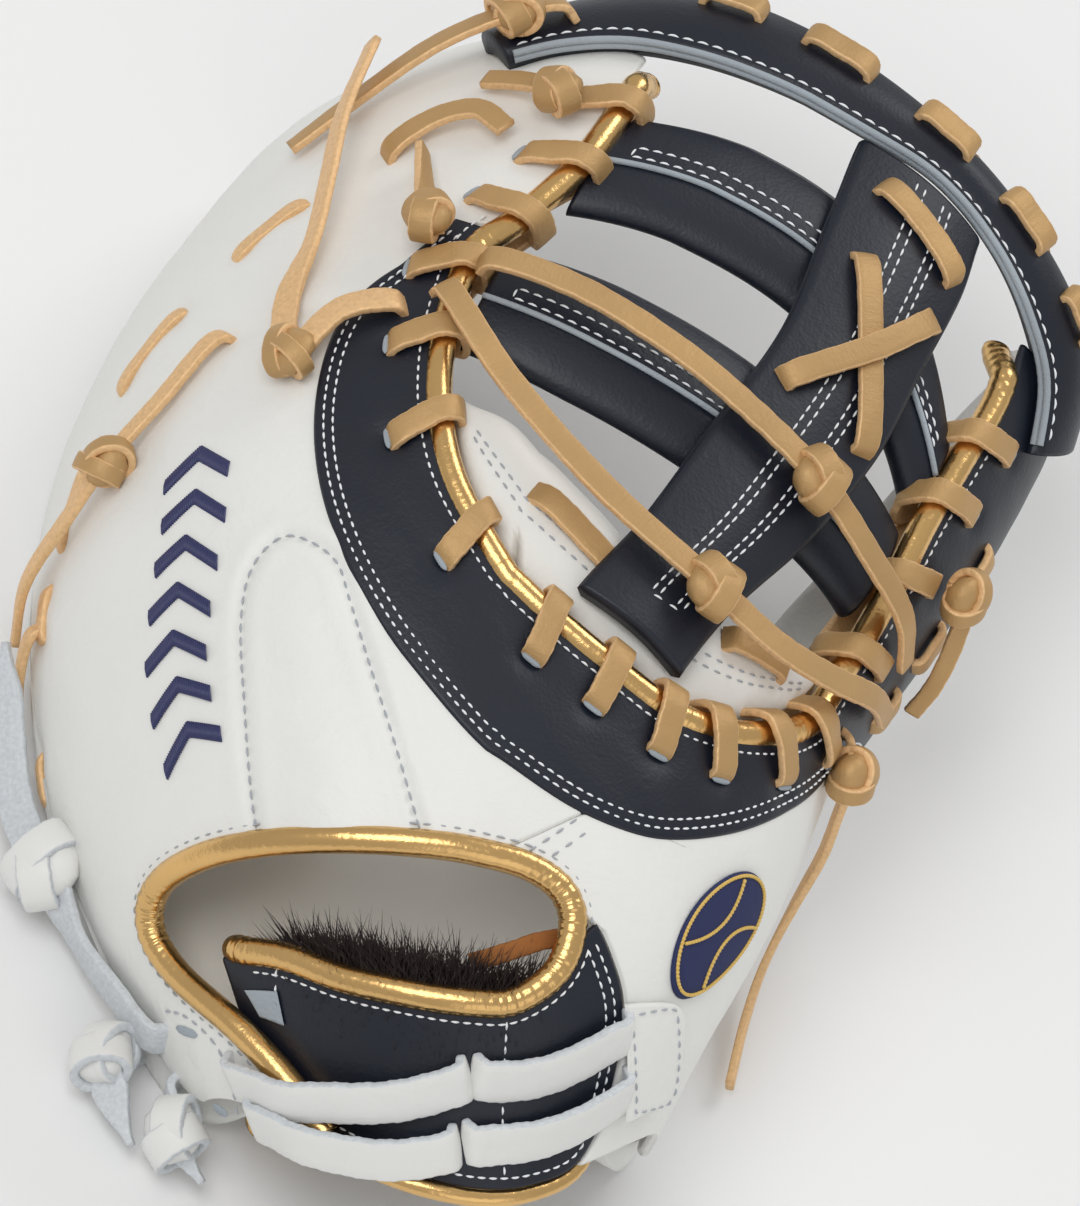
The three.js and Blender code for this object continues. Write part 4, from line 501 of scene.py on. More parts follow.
def turned(points, faces):
    """Faces turned so that the signed volume, the sum of a . (b x c), is positive."""
    p = points.reshape(-1, 3) - points.reshape(-1, 3).mean(0)
    volume = 0
    for f in faces:
        if f.shape[1] < 5:
            for k in range(1, f.shape[1] - 1):
                volume += (np.cross(p[f[:, k]], p[f[:, k + 1]]) * p[f[:, 0]]).sum()
    return faces if volume > 0 else [f[:, ::-1] for f in faces]


def by_size(faces):
    """Face arrays with the same number of corners, joined."""
    sizes = {}
    for f in faces:
        sizes.setdefault(f.shape[1], []).append(f)
    return [np.concatenate(f) for f in sizes.values()]


def tube_faces(m, n):
    """Quads of m rings of n points, closed round each ring, and a polygon over each end."""
    i, j = np.meshgrid(np.arange(m - 1), np.arange(n), indexing="ij")
    k = (j + 1) % n
    ring = np.arange(n)[None]
    return [np.stack([i * n + j, i * n + k, (i + 1) * n + k, (i + 1) * n + j], -1).reshape(-1, 4),
            ring[:, ::-1], (m - 1) * n + ring]


def folded_faces(m, top, under):
    """Quads of m rings folded flat, top points over under points, and their ends closed by polygons
    from one length of the underside to the lengths above it."""
    n = top + under
    sides = tube_faces(m, n)[0]
    ratio = (top - 1) // (under - 1)
    j = np.arange(under - 1)[:, None]
    cap = np.concatenate([ratio * j + np.arange(ratio + 1), n - 2 - j, n - 1 - j], 1)
    return [sides, cap[:, ::-1], (m - 1) * n + cap]


def tube(name, rings, material, **extra):
    """A closed piece through rings of points (m, n, 3)."""
    return build(name, rings, turned(rings, tube_faces(*rings.shape[:2])), material, **extra)


def panel(name, left, right, cells, depth, thick, edge, material, cut=0.0, low_cut=False, **extra):
    """A leather panel between two paths over the back, with four cells above for each one below. Its
    top falls and its underside rises by a quarter circle within edge millimetres of each side, and
    depth(s, t, u, points) gives the top."""
    columns = 4 * cells + 1
    u = np.linspace(0, 1, columns)
    u = 0.35 * u + 0.65 * (1 - np.cos(np.pi * u)) / 2
    s = left[:, None, 0] + (right - left)[:, None, 0] * u
    t = left[:, None, 1] + (right - left)[:, None, 1] * u
    points = back(s, t)
    steps = np.linalg.norm(np.diff(points, axis=1), axis=-1)
    run = np.concatenate([np.zeros((len(left), 1)), np.cumsum(steps, 1)], 1)
    aside = np.minimum(run, run[:, -1:] - run)
    lip = edge * (1 - np.sqrt(np.maximum(1 - np.clip(1 - aside / edge, 0, 1) ** 2, 0)))
    top = depth(s, t, np.broadcast_to(u, s.shape), points)
    normal = slopes(s, t)[2]
    over = points - normal * (top + lip)[..., None]
    under = (points - normal * (top + thick - lip * (thick - edge) / edge)[..., None])[:, ::-4]
    length = run_along(points[:, 2 * cells])[:, None]
    uv = np.stack(np.broadcast_arrays(length, np.concatenate([run, run[:, ::-4]], 1)), -1)
    low = (run > run[:, -1:] - 0.7 * edge) | (u > 0.995) if low_cut else aside < 0
    field = np.concatenate([np.maximum(low, cut), np.full(under.shape[:2], float(cut))], 1)
    rings = np.concatenate([over, under], 1)
    faces = turned(rings, folded_faces(len(left), columns, cells + 1))
    return build(name, rings, faces, material, fields={"cut": field}, uv=uv, **extra)


def flat(value):
    """A panel's top at one depth."""
    return lambda s, t, u, points: np.full(s.shape, float(value))


def spline(knots, steps):
    """Centripetal Catmull-Rom through knots, with the same number of points in each span."""
    k = np.asarray(knots, float)
    k = np.concatenate([[2 * k[0] - k[1]], k, [2 * k[-1] - k[-2]]])
    p0, p1, p2, p3 = k[:-3], k[1:-2], k[2:-1], k[3:]
    d0, d1, d2 = (np.maximum(np.linalg.norm(b - a, axis=1), 1e-6)[:, None] ** 0.5
                  for a, b in ((p0, p1), (p1, p2), (p2, p3)))
    m1 = ((p1 - p0) / d0 - (p2 - p0) / (d0 + d1) + (p2 - p1) / d1) * d1
    m2 = ((p2 - p1) / d1 - (p3 - p1) / (d1 + d2) + (p3 - p2) / d2) * d1
    f = (np.arange(steps) / steps)[None, :, None]
    p1, p2, m1, m2 = (v[:, None] for v in (p1, p2, m1, m2))
    out = p1 + m1 * f + (-3 * p1 + 3 * p2 - 2 * m1 - m2) * f ** 2 + (2 * p1 - 2 * p2 + m1 + m2) * f ** 3
    return np.concatenate([out.reshape(-1, out.shape[-1]), k[-2][None]])


def lace_section(width, thick):
    """A flat strip's section with small round corners, and the cut field: 0 on its grain face."""
    x, y = width / 2, thick / 2
    r = 0.24 * thick
    corner = np.radians([0, 45, 90])
    turns = [(x - r, y - r, 0), (r - x, y - r, 90), (r - x, r - y, 180), (x - r, r - y, 270)]
    corners = []
    for cx, cy, a in turns:
        angle = corner + np.radians(a)
        corners.append(np.stack([cx + r * np.cos(angle), cy + r * np.sin(angle)], -1))
    crown = np.array([[0.5 * x, y * 1.05], [0, y * 1.1], [-0.5 * x, y * 1.05]])
    ring = np.concatenate([corners[0], crown, corners[1], corners[2], corners[3]])
    return ring, (ring[:, 1] < 0.9 * y).astype(float)


def line_frame(points, ups):
    """Tangent, side and up along a line, at right angles, with up near the given one."""
    tangent = unit(np.gradient(points, axis=0))
    side = unit(np.cross(tangent, ups))
    return tangent, side, np.cross(side, tangent)


def ribbon_rings(points, ups, width, thick, taper=0.0, seed=1, suede=0.0):
    """Rings of a strip of lace along points, its face looking to ups. Its cut edges waver by a few
    hundredths, and a tail narrows by the taper over its last 40 mm, a broad one over its last 15.
    suede is 1 for a face of suede."""
    _, side, up = line_frame(points, ups)
    ring, cut = lace_section(width, thick)
    run = run_along(points)
    waver = 1 + 0.02 * np.sin(run * 0.9 + seed) + 0.02 * np.sin(run * 2.3 + 2 * seed)
    tail = BROAD_TAIL if width > BROAD_LACE else TAIL
    narrow = 1 - taper * smoothstep(run, run[-1] - tail, run[-1])
    x = ring[None, :, 0, None] * (waver * narrow)[:, None, None]
    rings = points[:, None] + side[:, None] * x + up[:, None] * ring[None, :, 1, None]
    uv = np.stack(np.broadcast_arrays(run[:, None], ring[None, :, 0]), -1)
    return rings, uv, np.broadcast_to(np.maximum(cut, suede), rings.shape[:2])


def join_parts(parts):
    """Points, faces, cut field and UV of several closed pieces as one mesh."""
    points, faces, cuts, uvs, base = [], [], [], [], 0
    for rings, uv, cut in parts:
        faces += [f + base for f in turned(rings, tube_faces(*rings.shape[:2]))]
        points.append(rings.reshape(-1, 3))
        cuts.append(np.asarray(cut, float).ravel())
        uvs.append(uv.reshape(-1, 2))
        base += rings.shape[0] * rings.shape[1]
    return np.concatenate(points), by_size(faces), np.concatenate(cuts), np.concatenate(uvs)


def ribbons(name, parts, material, slot, replaces=()):
    """Several strips and pebbles as one object."""
    points, faces, cut, uv = join_parts(parts)
    return build(name, points, faces, material, replaces, slot, {"cut": cut}, uv)


def on_back(s, t, depth):
    """Points under the back and the back's normals there."""
    return skin(s, t, depth), slopes(s, t)[2]


def stitch_run(points, ups, pitch, length, radius, lift):
    """Stitches along a line of points: spindles, their radius a half sine, each rising lift at its
    middle and dipping into the leather at its ends."""
    run = run_along(points)
    count = max(1, int(run[-1] / pitch))
    centre = (np.arange(count) + 0.5) * run[-1] / count
    rows, sides = 5, 6
    k = np.linspace(-0.5, 0.5, rows)
    at = np.clip(centre[:, None] + k * length, 0, run[-1])
    p = np.stack([np.interp(at, run, points[:, c]) for c in range(3)], -1)
    up = unit(np.stack([np.interp(at, run, ups[:, c]) for c in range(3)], -1))
    tangent = unit(np.gradient(p, axis=1))
    side = unit(np.cross(tangent, up))
    p = p + up * (lift * np.cos(np.pi * k) - 0.35 * radius)[None, :, None]
    r = radius * np.maximum(np.cos(np.pi * k * 0.98) ** 0.5, 0.12)
    angle = 2 * np.pi * np.arange(sides) / sides
    across = side[:, :, None] * np.cos(angle)[:, None] + up[:, :, None] * np.sin(angle)[:, None]
    rings = p[:, :, None] + r[:, None, None] * across
    return rings.reshape(-1, 3), repeated(turned(rings[0], tube_faces(rows, sides)), count, rows * sides)


def repeated(faces, count, points):
    """The faces of one small shape for each of count shapes, every one with so many points."""
    base = (np.arange(count) * points)[:, None, None]
    return [(f[None] + base).reshape(-1, f.shape[1]) for f in faces]


def stitches(name, runs, material, slot, pitch=2.7, length=2.15, radius=None, lift=0.3):
    """Rows of stitches as one object. Each run is points and the way the surface looks."""
    radius = radius or millimetres("thread_radius")
    points, faces, base = [], [], 0
    for line, ups in runs:
        p, of_run = stitch_run(line, ups, pitch, length, radius, lift)
        faces += [f + base for f in of_run]
        points.append(p)
        base += len(p)
    return build(name, np.concatenate(points), by_size(faces), material, (), slot)


def row_on_back(line, depth=0.0, spacing=1.2):
    """A stitch row over the back: its points and normals."""
    line = resample(line, spacing)
    return on_back(line[:, 0], line[:, 1], np.full(len(line), float(depth)))


# Materials

def add_node(tree, kind, settings=None, links=None):
    """Adds a node, sets its properties or sockets by name, and links outputs into its sockets."""
    made = tree.nodes.new(kind)
    for key, value in (settings or {}).items():
        if isinstance(key, str) and hasattr(made, key):
            setattr(made, key, value)
        else:
            made.inputs[key].default_value = value
    for key, output in (links or {}).items():
        tree.links.new(output, made.inputs[key])
    return made


# Sizes in millimetres of the clouds in a dye and of a suede's nap
MOTTLE_SIZE, SUEDE_NAP = 30.0, 1.1
# Kinds of grain: texture, output and settings. Lines run along a lace, eight times as long as wide
LINES_STRETCH = 8.0
GRAINS = {
    "lines": ("ShaderNodeTexNoise", "Fac", {"Detail": 3.0, "Distortion": 0.4}),
    "cells": ("ShaderNodeTexVoronoi", "Distance", {"feature": "SMOOTH_F1"}),
    "creases": ("ShaderNodeTexNoise", "Fac", {"Detail": 3.0, "Distortion": 1.6}),
    "fine": ("ShaderNodeTexNoise", "Fac", {"Detail": 5.0, "Roughness": 0.6}),
}


def finish(name, colour, shader, grain=(), cut=None, mottle=0.0):
    """A material: one colour, a second for cut leather by the cut field, cloudy mottle, and grain, a
    list of (kind, size in mm, height in mm) turned to bump."""
    material = bpy.data.materials.new(name)
    material.use_nodes = True
    tree = material.node_tree
    tree.nodes.clear()
    place = add_node(tree, "ShaderNodeTexCoord").outputs["Object"]
    principled = add_node(tree, "ShaderNodeBsdfPrincipled", shader)
    add_node(tree, "ShaderNodeOutputMaterial", None, {"Surface": principled.outputs[0]})
    principled.inputs["Base Color"].default_value = hex_colour(colour)
    base = None
    if mottle:
        clouds = {"Scale": 1000 / MOTTLE_SIZE, "Detail": 4.0}
        cloud = add_node(tree, "ShaderNodeTexNoise", clouds, {"Vector": place})
        dark = tuple(c * (1 - mottle) for c in hex_colour(colour)[:3]) + (1.0,)
        base = add_node(tree, "ShaderNodeMix", {"data_type": "RGBA", 6: dark, 7: hex_colour(colour)},
                        {0: cloud.outputs["Fac"]}).outputs[2]
    if cut:
        field = add_node(tree, "ShaderNodeAttribute", {"attribute_name": "cut"}).outputs["Fac"]
        nap = {"Scale": 1000 / SUEDE_NAP, "Detail": 3.0}
        fuzz = add_node(tree, "ShaderNodeTexNoise", nap, {"Vector": place})
        second = tuple(c * 0.62 for c in hex_colour(cut)[:3]) + (1.0,)
        suede = add_node(tree, "ShaderNodeMix", {"data_type": "RGBA", 6: second, 7: hex_colour(cut)},
                         {0: fuzz.outputs["Fac"]}).outputs[2]
        face = {"data_type": "RGBA", 6: hex_colour(colour)}
        mix = add_node(tree, "ShaderNodeMix", face, {0: field, 7: suede})
        if base is not None:
            tree.links.new(base, mix.inputs[6])
        base = mix.outputs[2]
    if base is not None:
        tree.links.new(base, principled.inputs["Base Color"])
    normal = None
    for kind, size, height in grain:
        node, output, settings = GRAINS[kind]
        scale, where = 1000 / size, place
        if kind == "lines":
            stretch = {"Scale": (scale, scale / LINES_STRETCH, 1.0)}
            own = add_node(tree, "ShaderNodeTexCoord").outputs["UV"]
            where = add_node(tree, "ShaderNodeMapping", stretch, {"Vector": own}).outputs[0]
            scale = 1.0
        texture = add_node(tree, node, {"Scale": scale, **settings}, {"Vector": where})
        links = {"Height": texture.outputs[output]}
        if normal is not None:
            links["Normal"] = normal
        bump = {"Distance": height * 0.001, "Strength": 1.0}
        normal = add_node(tree, "ShaderNodeBump", bump, links).outputs[0]
    if normal is not None:
        tree.links.new(normal, principled.inputs["Normal"])
    return material


MATERIALS = {}


def mat(name):
    """The scene's materials, made the first time one is asked for."""
    if MATERIALS:
        return MATERIALS[name]
    look = bpy.context.scene.mitt_looks
    white, navy, gold, lace = look.white, look.navy, look.gold, look.lace
    soft = {"Roughness": 0.46, "Specular IOR Level": 0.42}
    MATERIALS.update({
        # Steerhide, drum dyed white and buffed: a soft broad sheen over very fine grain
        "white": finish("buffed_white_steerhide", white, soft,
                        [("fine", 1.1, 0.05), ("creases", 9, 0.25), ("fine", 30, 0.9)], mottle=0.05),
        # The same hide, shaped and padded in the palm
        "palm": finish("padded_palm_steerhide", white, soft, [("fine", 1.2, 0.07), ("creases", 22, 0.9)],
                       mottle=0.06),
        # Steerhide dyed navy through, its grain close and fine: near black, with a soft sheen
        "navy": finish("fine_grain_navy_steerhide", navy, {"Roughness": 0.42, "Specular IOR Level": 0.45},
                       [("cells", 0.8, 0.05), ("creases", 6, 0.09)], cut="#a9bccb", mottle=0.3),
        # Foil laid on thin leather and rolled over a piping core: mirror-like with fine creases
        "foil": finish("gold_foil_binding", gold, {"Metallic": 1.0, "Roughness": 0.24},
                       [("creases", 2.4, 0.07), ("fine", 9, 0.35)], mottle=0.3),
        # Rawhide lace with a bronzed grain face and tan suede on its cut sides and back
        "lace": finish("bronzed_rawhide_lace", lace,
                       {"Roughness": 0.5, "Metallic": 0.3, "Specular IOR Level": 0.45},
                       [("lines", 0.8, 0.1), ("creases", 1.3, 0.1), ("fine", 7, 0.4)],
                       cut="#fbcf98", mottle=0.35),
        # White lace leather, its cut sides left as pale blue grey suede
        "white_lace": finish("white_lace_leather", "#e6e6e3", soft, [("fine", 1.1, 0.07), ("fine", 9, 0.4)],
                             cut="#dfe4e8", mottle=0.04),
        # Bonded polyester thread: slightly shiny. The second thread is the same white thread painted grey all
        # over, as painted shade where it sinks into white leather
        "thread": finish("bonded_white_thread", "#eef1f4", {"Roughness": 0.5}),
        "shade_grey_thread": finish("thread_painted_grey_as_hole_shade", "#a9aeb4", {"Roughness": 0.55}),
        # Rayon thread laid close, as in satin stitch: a soft shine along it
        "gold_thread": finish("rayon_gold_thread", "#d9b45a", {"Roughness": 0.35, "Specular IOR Level": 0.6}),
        "navy_thread": finish("rayon_navy_thread", "#262b5c", {"Roughness": 0.38, "Specular IOR Level": 0.6}),
        # Pigskin lining, unbuffed: matt and a little grey in the mitt's own shade
        "lining": finish("grey_pigskin_lining", "#f4efe6", {"Roughness": 0.75},
                         [("fine", 1.6, 0.12), ("creases", 18, 0.8)], mottle=0.1),
        # Knitted pile, brown black
        "pile": finish("dark_knitted_pile", "#2a1f1d", {"Roughness": 0.8}),
        # Split suede: matt, its nap lighter and darker by turns
        "suede": finish("tan_split_suede", "#a86a35", {"Roughness": 0.9}, [("fine", 0.9, 0.2)], mottle=0.3),
        "pale_suede": finish("pale_split_suede", "#b4bec6", {"Roughness": 0.92}, [("fine", 0.9, 0.35)],
                             mottle=0.45),
        # Polyester twill, its weave drawn just coarse enough to show
        "patch": finish("navy_twill_patch", "#222a55", {"Roughness": 0.8}, [("fine", 0.7, 0.15)]),
        "floor": finish("studio_floor", "#f0f0f0", {"Roughness": 0.9}),
    })
    return MATERIALS[name]


# Bar shapes used by several pieces

def bar_edges(top, low, count=41):
    """The two rails of a bar: straight in s and t between two stations, bowed by a half sine."""
    f = np.linspace(0, 1, count)
    rails = []
    for left, right, bow in (top, low):
        a, b = edge_place(np.array([left, right]), -(BINDING_CLEAR + GAP))
        s = a[0] + (b[0] - a[0]) * f + bow * np.sin(np.pi * f)
        rails.append(np.stack([s, a[1] + (b[1] - a[1]) * f], -1))
    return rails


def foot_edges(count=61):
    """The foot bar's two rails: its bowed top and the edge of the web opening."""
    stations = np.linspace(*FOOT_BAR_ENDS, count)
    return whole_path(FOOT_BAR_TOP, count), edge_place(stations, -(BINDING_CLEAR + GAP))


def bar_depth(u):
    """Depth of a rolled bar's top at the share u across: an ellipse over its half thickness."""
    return BAR_CLEARANCE + BAR_THICK / 2 * (1 - np.maximum(1 - (2 * u - 1) ** 2, 0) ** 0.45)


def bar_line(rails, u, lift, ends=(0, None)):
    """A line along a bar at the share u across, lifted off its top."""
    line = (rails[0] + (rails[1] - rails[0]) * u)[ends[0]:ends[1]]
    return on_back(line[:, 0], line[:, 1], np.full(len(line), bar_depth(u) - lift))


def bar_rings(rails, around=36):
    """A rolled bar: an ellipse round each line between the rails, sagging a little at the middle."""
    angle = 2 * np.pi * np.arange(around) / around
    u = 0.5 - 0.5 * np.cos(angle)
    s = rails[0][:, None, 0] + (rails[1] - rails[0])[:, None, 0] * u
    t = rails[0][:, None, 1] + (rails[1] - rails[0])[:, None, 1] * u
    depth = BAR_CLEARANCE + BAR_THICK / 2 * (1 - np.sign(np.sin(angle)) * np.abs(np.sin(angle)) ** 0.9)
    return skin(s, t, np.broadcast_to(depth, s.shape))


POST_BOTTOM = BAR_CLEARANCE - 2 * GAP


def between_rails(table, f, u):
    """Place at the share f along a table's two rails and u across them."""
    row = np.asarray(f, float) * (len(table) - 1)
    at = [column(table, k, row) for k in range(4)]
    return at[0] + (at[2] - at[0]) * u, at[1] + (at[3] - at[1]) * u


def post_top(u):
    """Depth of the post's top: a half sine over its flat sides."""
    return POST_BOTTOM - POST_THICK * (0.7 + 0.3 * np.sin(np.pi * u))


def band_top(u):
    """Depth of the band's top: a half sine over its flat sides."""
    return -GAP - BAND_THICK * (0.62 + 0.38 * np.sin(np.pi * u))


# Pieces

def make_palm():
    """Palm shell: rings across the horseshoe, over the hand side from the web edge to the rim and
    back under the pocket side."""
    stations, inside = 240, 46
    station = np.linspace(0, LAST_STATION, stations)[:, None]
    u = np.concatenate([np.linspace(0, 1, inside), [1.03, 1.06, 1.2, 1.4, 1.6, 1.8, 2.0]])
    count = len(u)
    over, under = (palm_point(station, np.broadcast_to(u, (stations, count)), side) for side in (False, True))
    rings = np.concatenate([over, under[:, ::-1]], 1)
    faces = turned(rings, folded_faces(stations, count, count))
    piece = build("padded_palm", rings, faces, mat("palm"), ["palm_shell"], "palm_leather")
    piece.data.materials.append(mat("lining"))
    index = np.zeros(len(piece.data.polygons), np.int32)
    ring = np.arange((stations - 1) * 2 * count) % (2 * count)
    index[:len(ring)] = (ring < inside - 1).astype(np.int32)
    piece.data.polygons.foreach_set("material_index", index)


def waves(points):
    """The low roll of a hide: sines across and along it, from 120 mm down to 11 mm long."""
    x, y = points[..., 0], points[..., 1]
    return (0.3 * np.sin(x * 0.085 + y * 0.03 + 1) * np.sin(y * 0.052) + 0.12 * np.sin(x * 0.19 - y * 0.11)
            + 0.05 * np.sin(x * 0.43 + y * 0.37 + np.sin(y * 0.11)))


def bell(distance, width):
    """exp(-(distance / width)^2): 1 at no distance, and almost 0 past twice the width."""
    return np.exp(-(distance / width) ** 2)


def link(start, end, count):
    """Rows between two rows, without either."""
    return start + (end - start) * np.linspace(0, 1, count)[1:-1, None]


def make_backs():
    """Back panels: leather between matched paths. It dips by a bell curve exp(-(d/w)^2) along the
    pad's seam and a fold and at each lace hole, swells inside the pad, and rolls by low sine waves."""
    pad_line = whole_path(KNUCKLE_PAD, 40)
    pad = back(pad_line[:, 0], pad_line[:, 1])
    spine = back(np.linspace(0.21, 0.39, 12), np.linspace(-0.25, -0.3, 12))
    fold = back(np.linspace(0.66, 0.6, 10), np.linspace(-0.26, -0.55, 10))
    holes = back(*np.array(FINGER_LACE).T)

    def finger_depth(s, t, u, points):
        """Depth of the finger leather: the pad's groove and swell, the lace holes, the fold, the roll."""
        beside = near(points, pad)
        groove = 0.85 * bell(beside, 1.9) - 0.35 * bell(beside - 3.6, 2.4)
        swell = -1.1 * bell(near(points, spine), 11)
        pull = sum(1.1 * bell(np.linalg.norm(points - hole, axis=-1), 5) for hole in holes)
        crease = 0.8 * bell(near(points, fold), 2.6)
        return groove + swell + pull + crease + waves(points)

    def crotch_depth(s, t, u, points):
        """Depth of the crotch leather, pulled in at each lace hole."""
        pull = 0
        for station in LOOPS:
            place = edge_place(station + LOOP_SLANT, LACE_SET_BACK)
            pull = pull + 0.9 * bell(np.linalg.norm(points - back(place[0], place[1]), axis=-1), 4)
        return pull - 0.7 + 0.6 * waves(points)

    rows = np.linspace(0, len(CROTCH_OUTER) - 1, 300)
    inner = edge_place(column(CROTCH_OUTER, 2, rows), BINDING_CLEAR - 2.2)
    across = rows < THUMB_SIDE_ROW
    outer = shift(whole_path(CROTCH_OUTER, 300), 0.55)
    outer[~across] = seam_line(column(CROTCH_OUTER, 4, rows[~across]), -0.8)
    panel("crotch_leather", inner, outer, 18, crotch_depth, BACK_LEATHER, 1.2, mat("navy"),
          replaces=["crotch_panel"], slot="navy_leather")

    cuff_rows = [np.linspace(CUFF_SEAM_ROW - 0.01, 7, 90), np.linspace(6.95, 4, 30), np.linspace(3.94, 0, 50)]
    tip = edge_place(np.linspace(0, 3.35, 40), BINDING_CLEAR - 2.2)
    crotch = shift(places(CROTCH_OUTER, np.linspace(0, 7.995, 180)), -0.6)
    cuff = shift(places(CUFF_EDGE, np.concatenate(cuff_rows)), 2.0)
    inner = np.concatenate([tip, crotch, link(crotch[-1], cuff[0], 28), cuff])
    corners = np.cumsum([0, 40, 180, 26, 90, 30, 49])
    stations = np.interp(np.arange(len(inner)), corners, (0, 3.38, 8.55, 8.8, 10.35, 10.8, 11.95))
    panel("finger_leather", inner, seam_line(stations, -0.8), 44, finger_depth, BACK_LEATHER, 1.1,
          mat("white"), replaces=["finger_back"], slot="white_leather")

    tables = (
        (CROTCH_OUTER, np.linspace(THUMB_SIDE_ROW, 8.0, 80), 0.6, 4),
        (CUFF_EDGE, np.linspace(CUFF_SEAM_ROW, CUFF_RIGHT_ROW - 0.3, 40), -2.0, 4),
        (STRAP_OUTER, np.linspace(9.75, 5, 50), -0.3, 2),
    )
    a, b, c = (shift(places(table, rows), aside) for table, rows, aside, _ in tables)
    inner = np.concatenate([a, link(a[-1], b[0], 28), b, link(b[-1], c[0], 12), c])
    a, b, c = (column(table, seam, rows)[:, None] for table, rows, _, seam in tables)
    stations = np.concatenate([a, link(a[-1], b[0], 28), b, link(b[-1], c[0], 12), c])[:, 0]
    panel("thumb_leather", inner, seam_line(stations, -0.8), 26, lambda s, t, u, p: waves(p), BACK_LEATHER,
          1.1, mat("white"), replaces=["thumb_back"], slot="white_leather")


def seam_line(stations, inward):
    """The outer seam at a list of stations, set in from the palm's step."""
    s, t = palm_place(stations, np.ones(len(stations)))[:2]
    return shift(np.stack([s, t], -1), inward)


def make_strap():
    """Wrist strap: a panel that dips under the flap."""
    inner = shift(path(CUFF_EDGE, CUFF_RIGHT_ROW + 0.3, len(CUFF_EDGE) - 1, 120), -2.0)
    outer = shift(path(STRAP_OUTER, len(STRAP_OUTER) - 1, 0, 120), 0.15)
    f = np.linspace(0, 1, 12)[1:, None]
    inner, outer = (np.concatenate([line, line[-1] + (end - line[-1]) * f])
                    for line, end in ((inner, STRAP_HIDDEN_ENDS[0]), (outer, STRAP_HIDDEN_ENDS[1])))
    panel("strap_leather", inner, outer, 12, lambda s, t, u, p: strap_depth(t), BACK_LEATHER, 1.1,
          mat("navy"), replaces=["wrist_strap"], slot="navy_leather")


def binding_rings(points, ups, radius, ripple, seed=0.0):
    """A bound edge: a circle along a line, its radius rippled by slanting creases that deepen with
    the line's curvature."""
    tangent, side, up = line_frame(points, ups)
    run = run_along(points)
    bend = np.linalg.norm(np.gradient(tangent, axis=0), axis=1) / np.maximum(np.gradient(run), 1e-6)
    bend = np.convolve(np.pad(bend, 8, mode="edge"), np.ones(17) / 17, "valid")
    deep = (0.12 + smoothstep(bend, 0.02, 0.07))[:, None]
    angle = 2 * np.pi * np.arange(20) / 20
    phase = run[:, None] * 2.4 + 1.1 * np.sin(angle + seed)[None] + 1.5 * np.sin(run * 0.31)[:, None]
    fine = run[:, None] * 5.1 + 2.2 * np.sin(angle + 1 + seed)[None] + 2 * np.sin(run * 0.53)[:, None]
    r = np.asarray(radius)[:, None] * (1 + ripple * deep * (np.sin(phase) + 0.7 * np.sin(fine)) * 0.5)
    across = side[:, None] * np.cos(angle)[:, None] + up[:, None] * np.sin(angle)[:, None]
    rings = points[:, None] + r[..., None] * across
    uv = np.stack(np.broadcast_arrays(run[:, None], 3.0 * angle[None]), -1)
    return rings, uv


def make_bindings():
    """Gold bindings: rippled tubes round the web opening, the hand opening and the heel."""
    rows = np.linspace(0.05, LAST_STATION - 0.05, 760)
    line = places(HORSESHOE, rows)
    depth = BINDING_DEPTH + 6 * (1 - smoothstep(np.minimum(rows, LAST_STATION - rows), 0.05, 0.7))
    points, ups = on_back(line[:, 0], line[:, 1], depth)
    rings, uv = binding_rings(points, ups, np.full(760, millimetres("binding_radius")), 0.045)
    tube("web_foil_binding", rings, mat("foil"), replaces=["web_binding"], slot="gold_binding", uv=uv)
    rows, hidden = np.linspace(0, len(CUFF_EDGE) - 1, 620), 31
    line = places(CUFF_EDGE, rows)
    share = np.linspace(0, 1, hidden + 1)[1:]
    line = np.concatenate([line, line[-1] + np.outer(share, STRAP_HIDDEN_ENDS[2] - line[-1])])
    on_strap = column(CUFF_EDGE, 2, np.concatenate([rows, np.full(hidden, rows[-1])]))
    depth = BINDING_DEPTH + on_strap * strap_depth(line[:, 1])
    depth[-hidden:] += 3.5 * np.linspace(0, 1, hidden) ** 2
    points, ups = on_back(line[:, 0], line[:, 1], depth)
    radius = np.full(len(line), CUFF_BINDING_RADIUS + GAP)
    radius[-12:] *= np.sqrt(1 - np.linspace(0, 0.97, 12) ** 2)
    rings, uv = binding_rings(points, ups, radius, 0.05)
    tube("cuff_foil_binding", rings, mat("foil"), replaces=["cuff_binding"], slot="gold_binding", uv=uv)
    line = shift(path(STRAP_OUTER, 0.3, 5.7, 120), 2.0)
    points, ups = on_back(line[:, 0], line[:, 1], np.full(120, 2.2))
    rings, uv = binding_rings(points, ups, 2.2 * np.sqrt(1 - np.linspace(-0.995, 0.995, 120) ** 8), 0.05)
    tube("strap_foil_edge", rings, mat("foil"), slot="gold_binding", uv=uv)
    station = np.linspace(11.8, 15.7, 160)
    rim, within = (sum(palm_point(station, np.full(160, u), under) for under in (False, True)) / 2
                   for u in (2.0, 1.5))
    away = rim - within
    away[:, 2] = 0
    away = unit(away)
    edge = rim + away * (BINDING_RADIUS - 1.0)
    edge[:, 2] = np.maximum(rim[:, 2], BINDING_CLEAR)
    rings, uv = binding_rings(edge, np.tile([0.0, 0.0, 1.0], (160, 1)), np.full(160, BINDING_RADIUS), 0.03)
    tube("heel_foil_binding", rings, mat("foil"), replaces=["heel_binding"], slot="gold_binding", uv=uv)


def bead(name, line, ups, radius, material, slot, seed=0.0):
    """The fuzzy cut edge of a leather layer: a thin tube with an uneven radius."""
    rings, uv = binding_rings(line, ups, np.full(len(line), radius), 0.16, seed)
    return tube(name, rings, material, uv=uv, slot=slot)


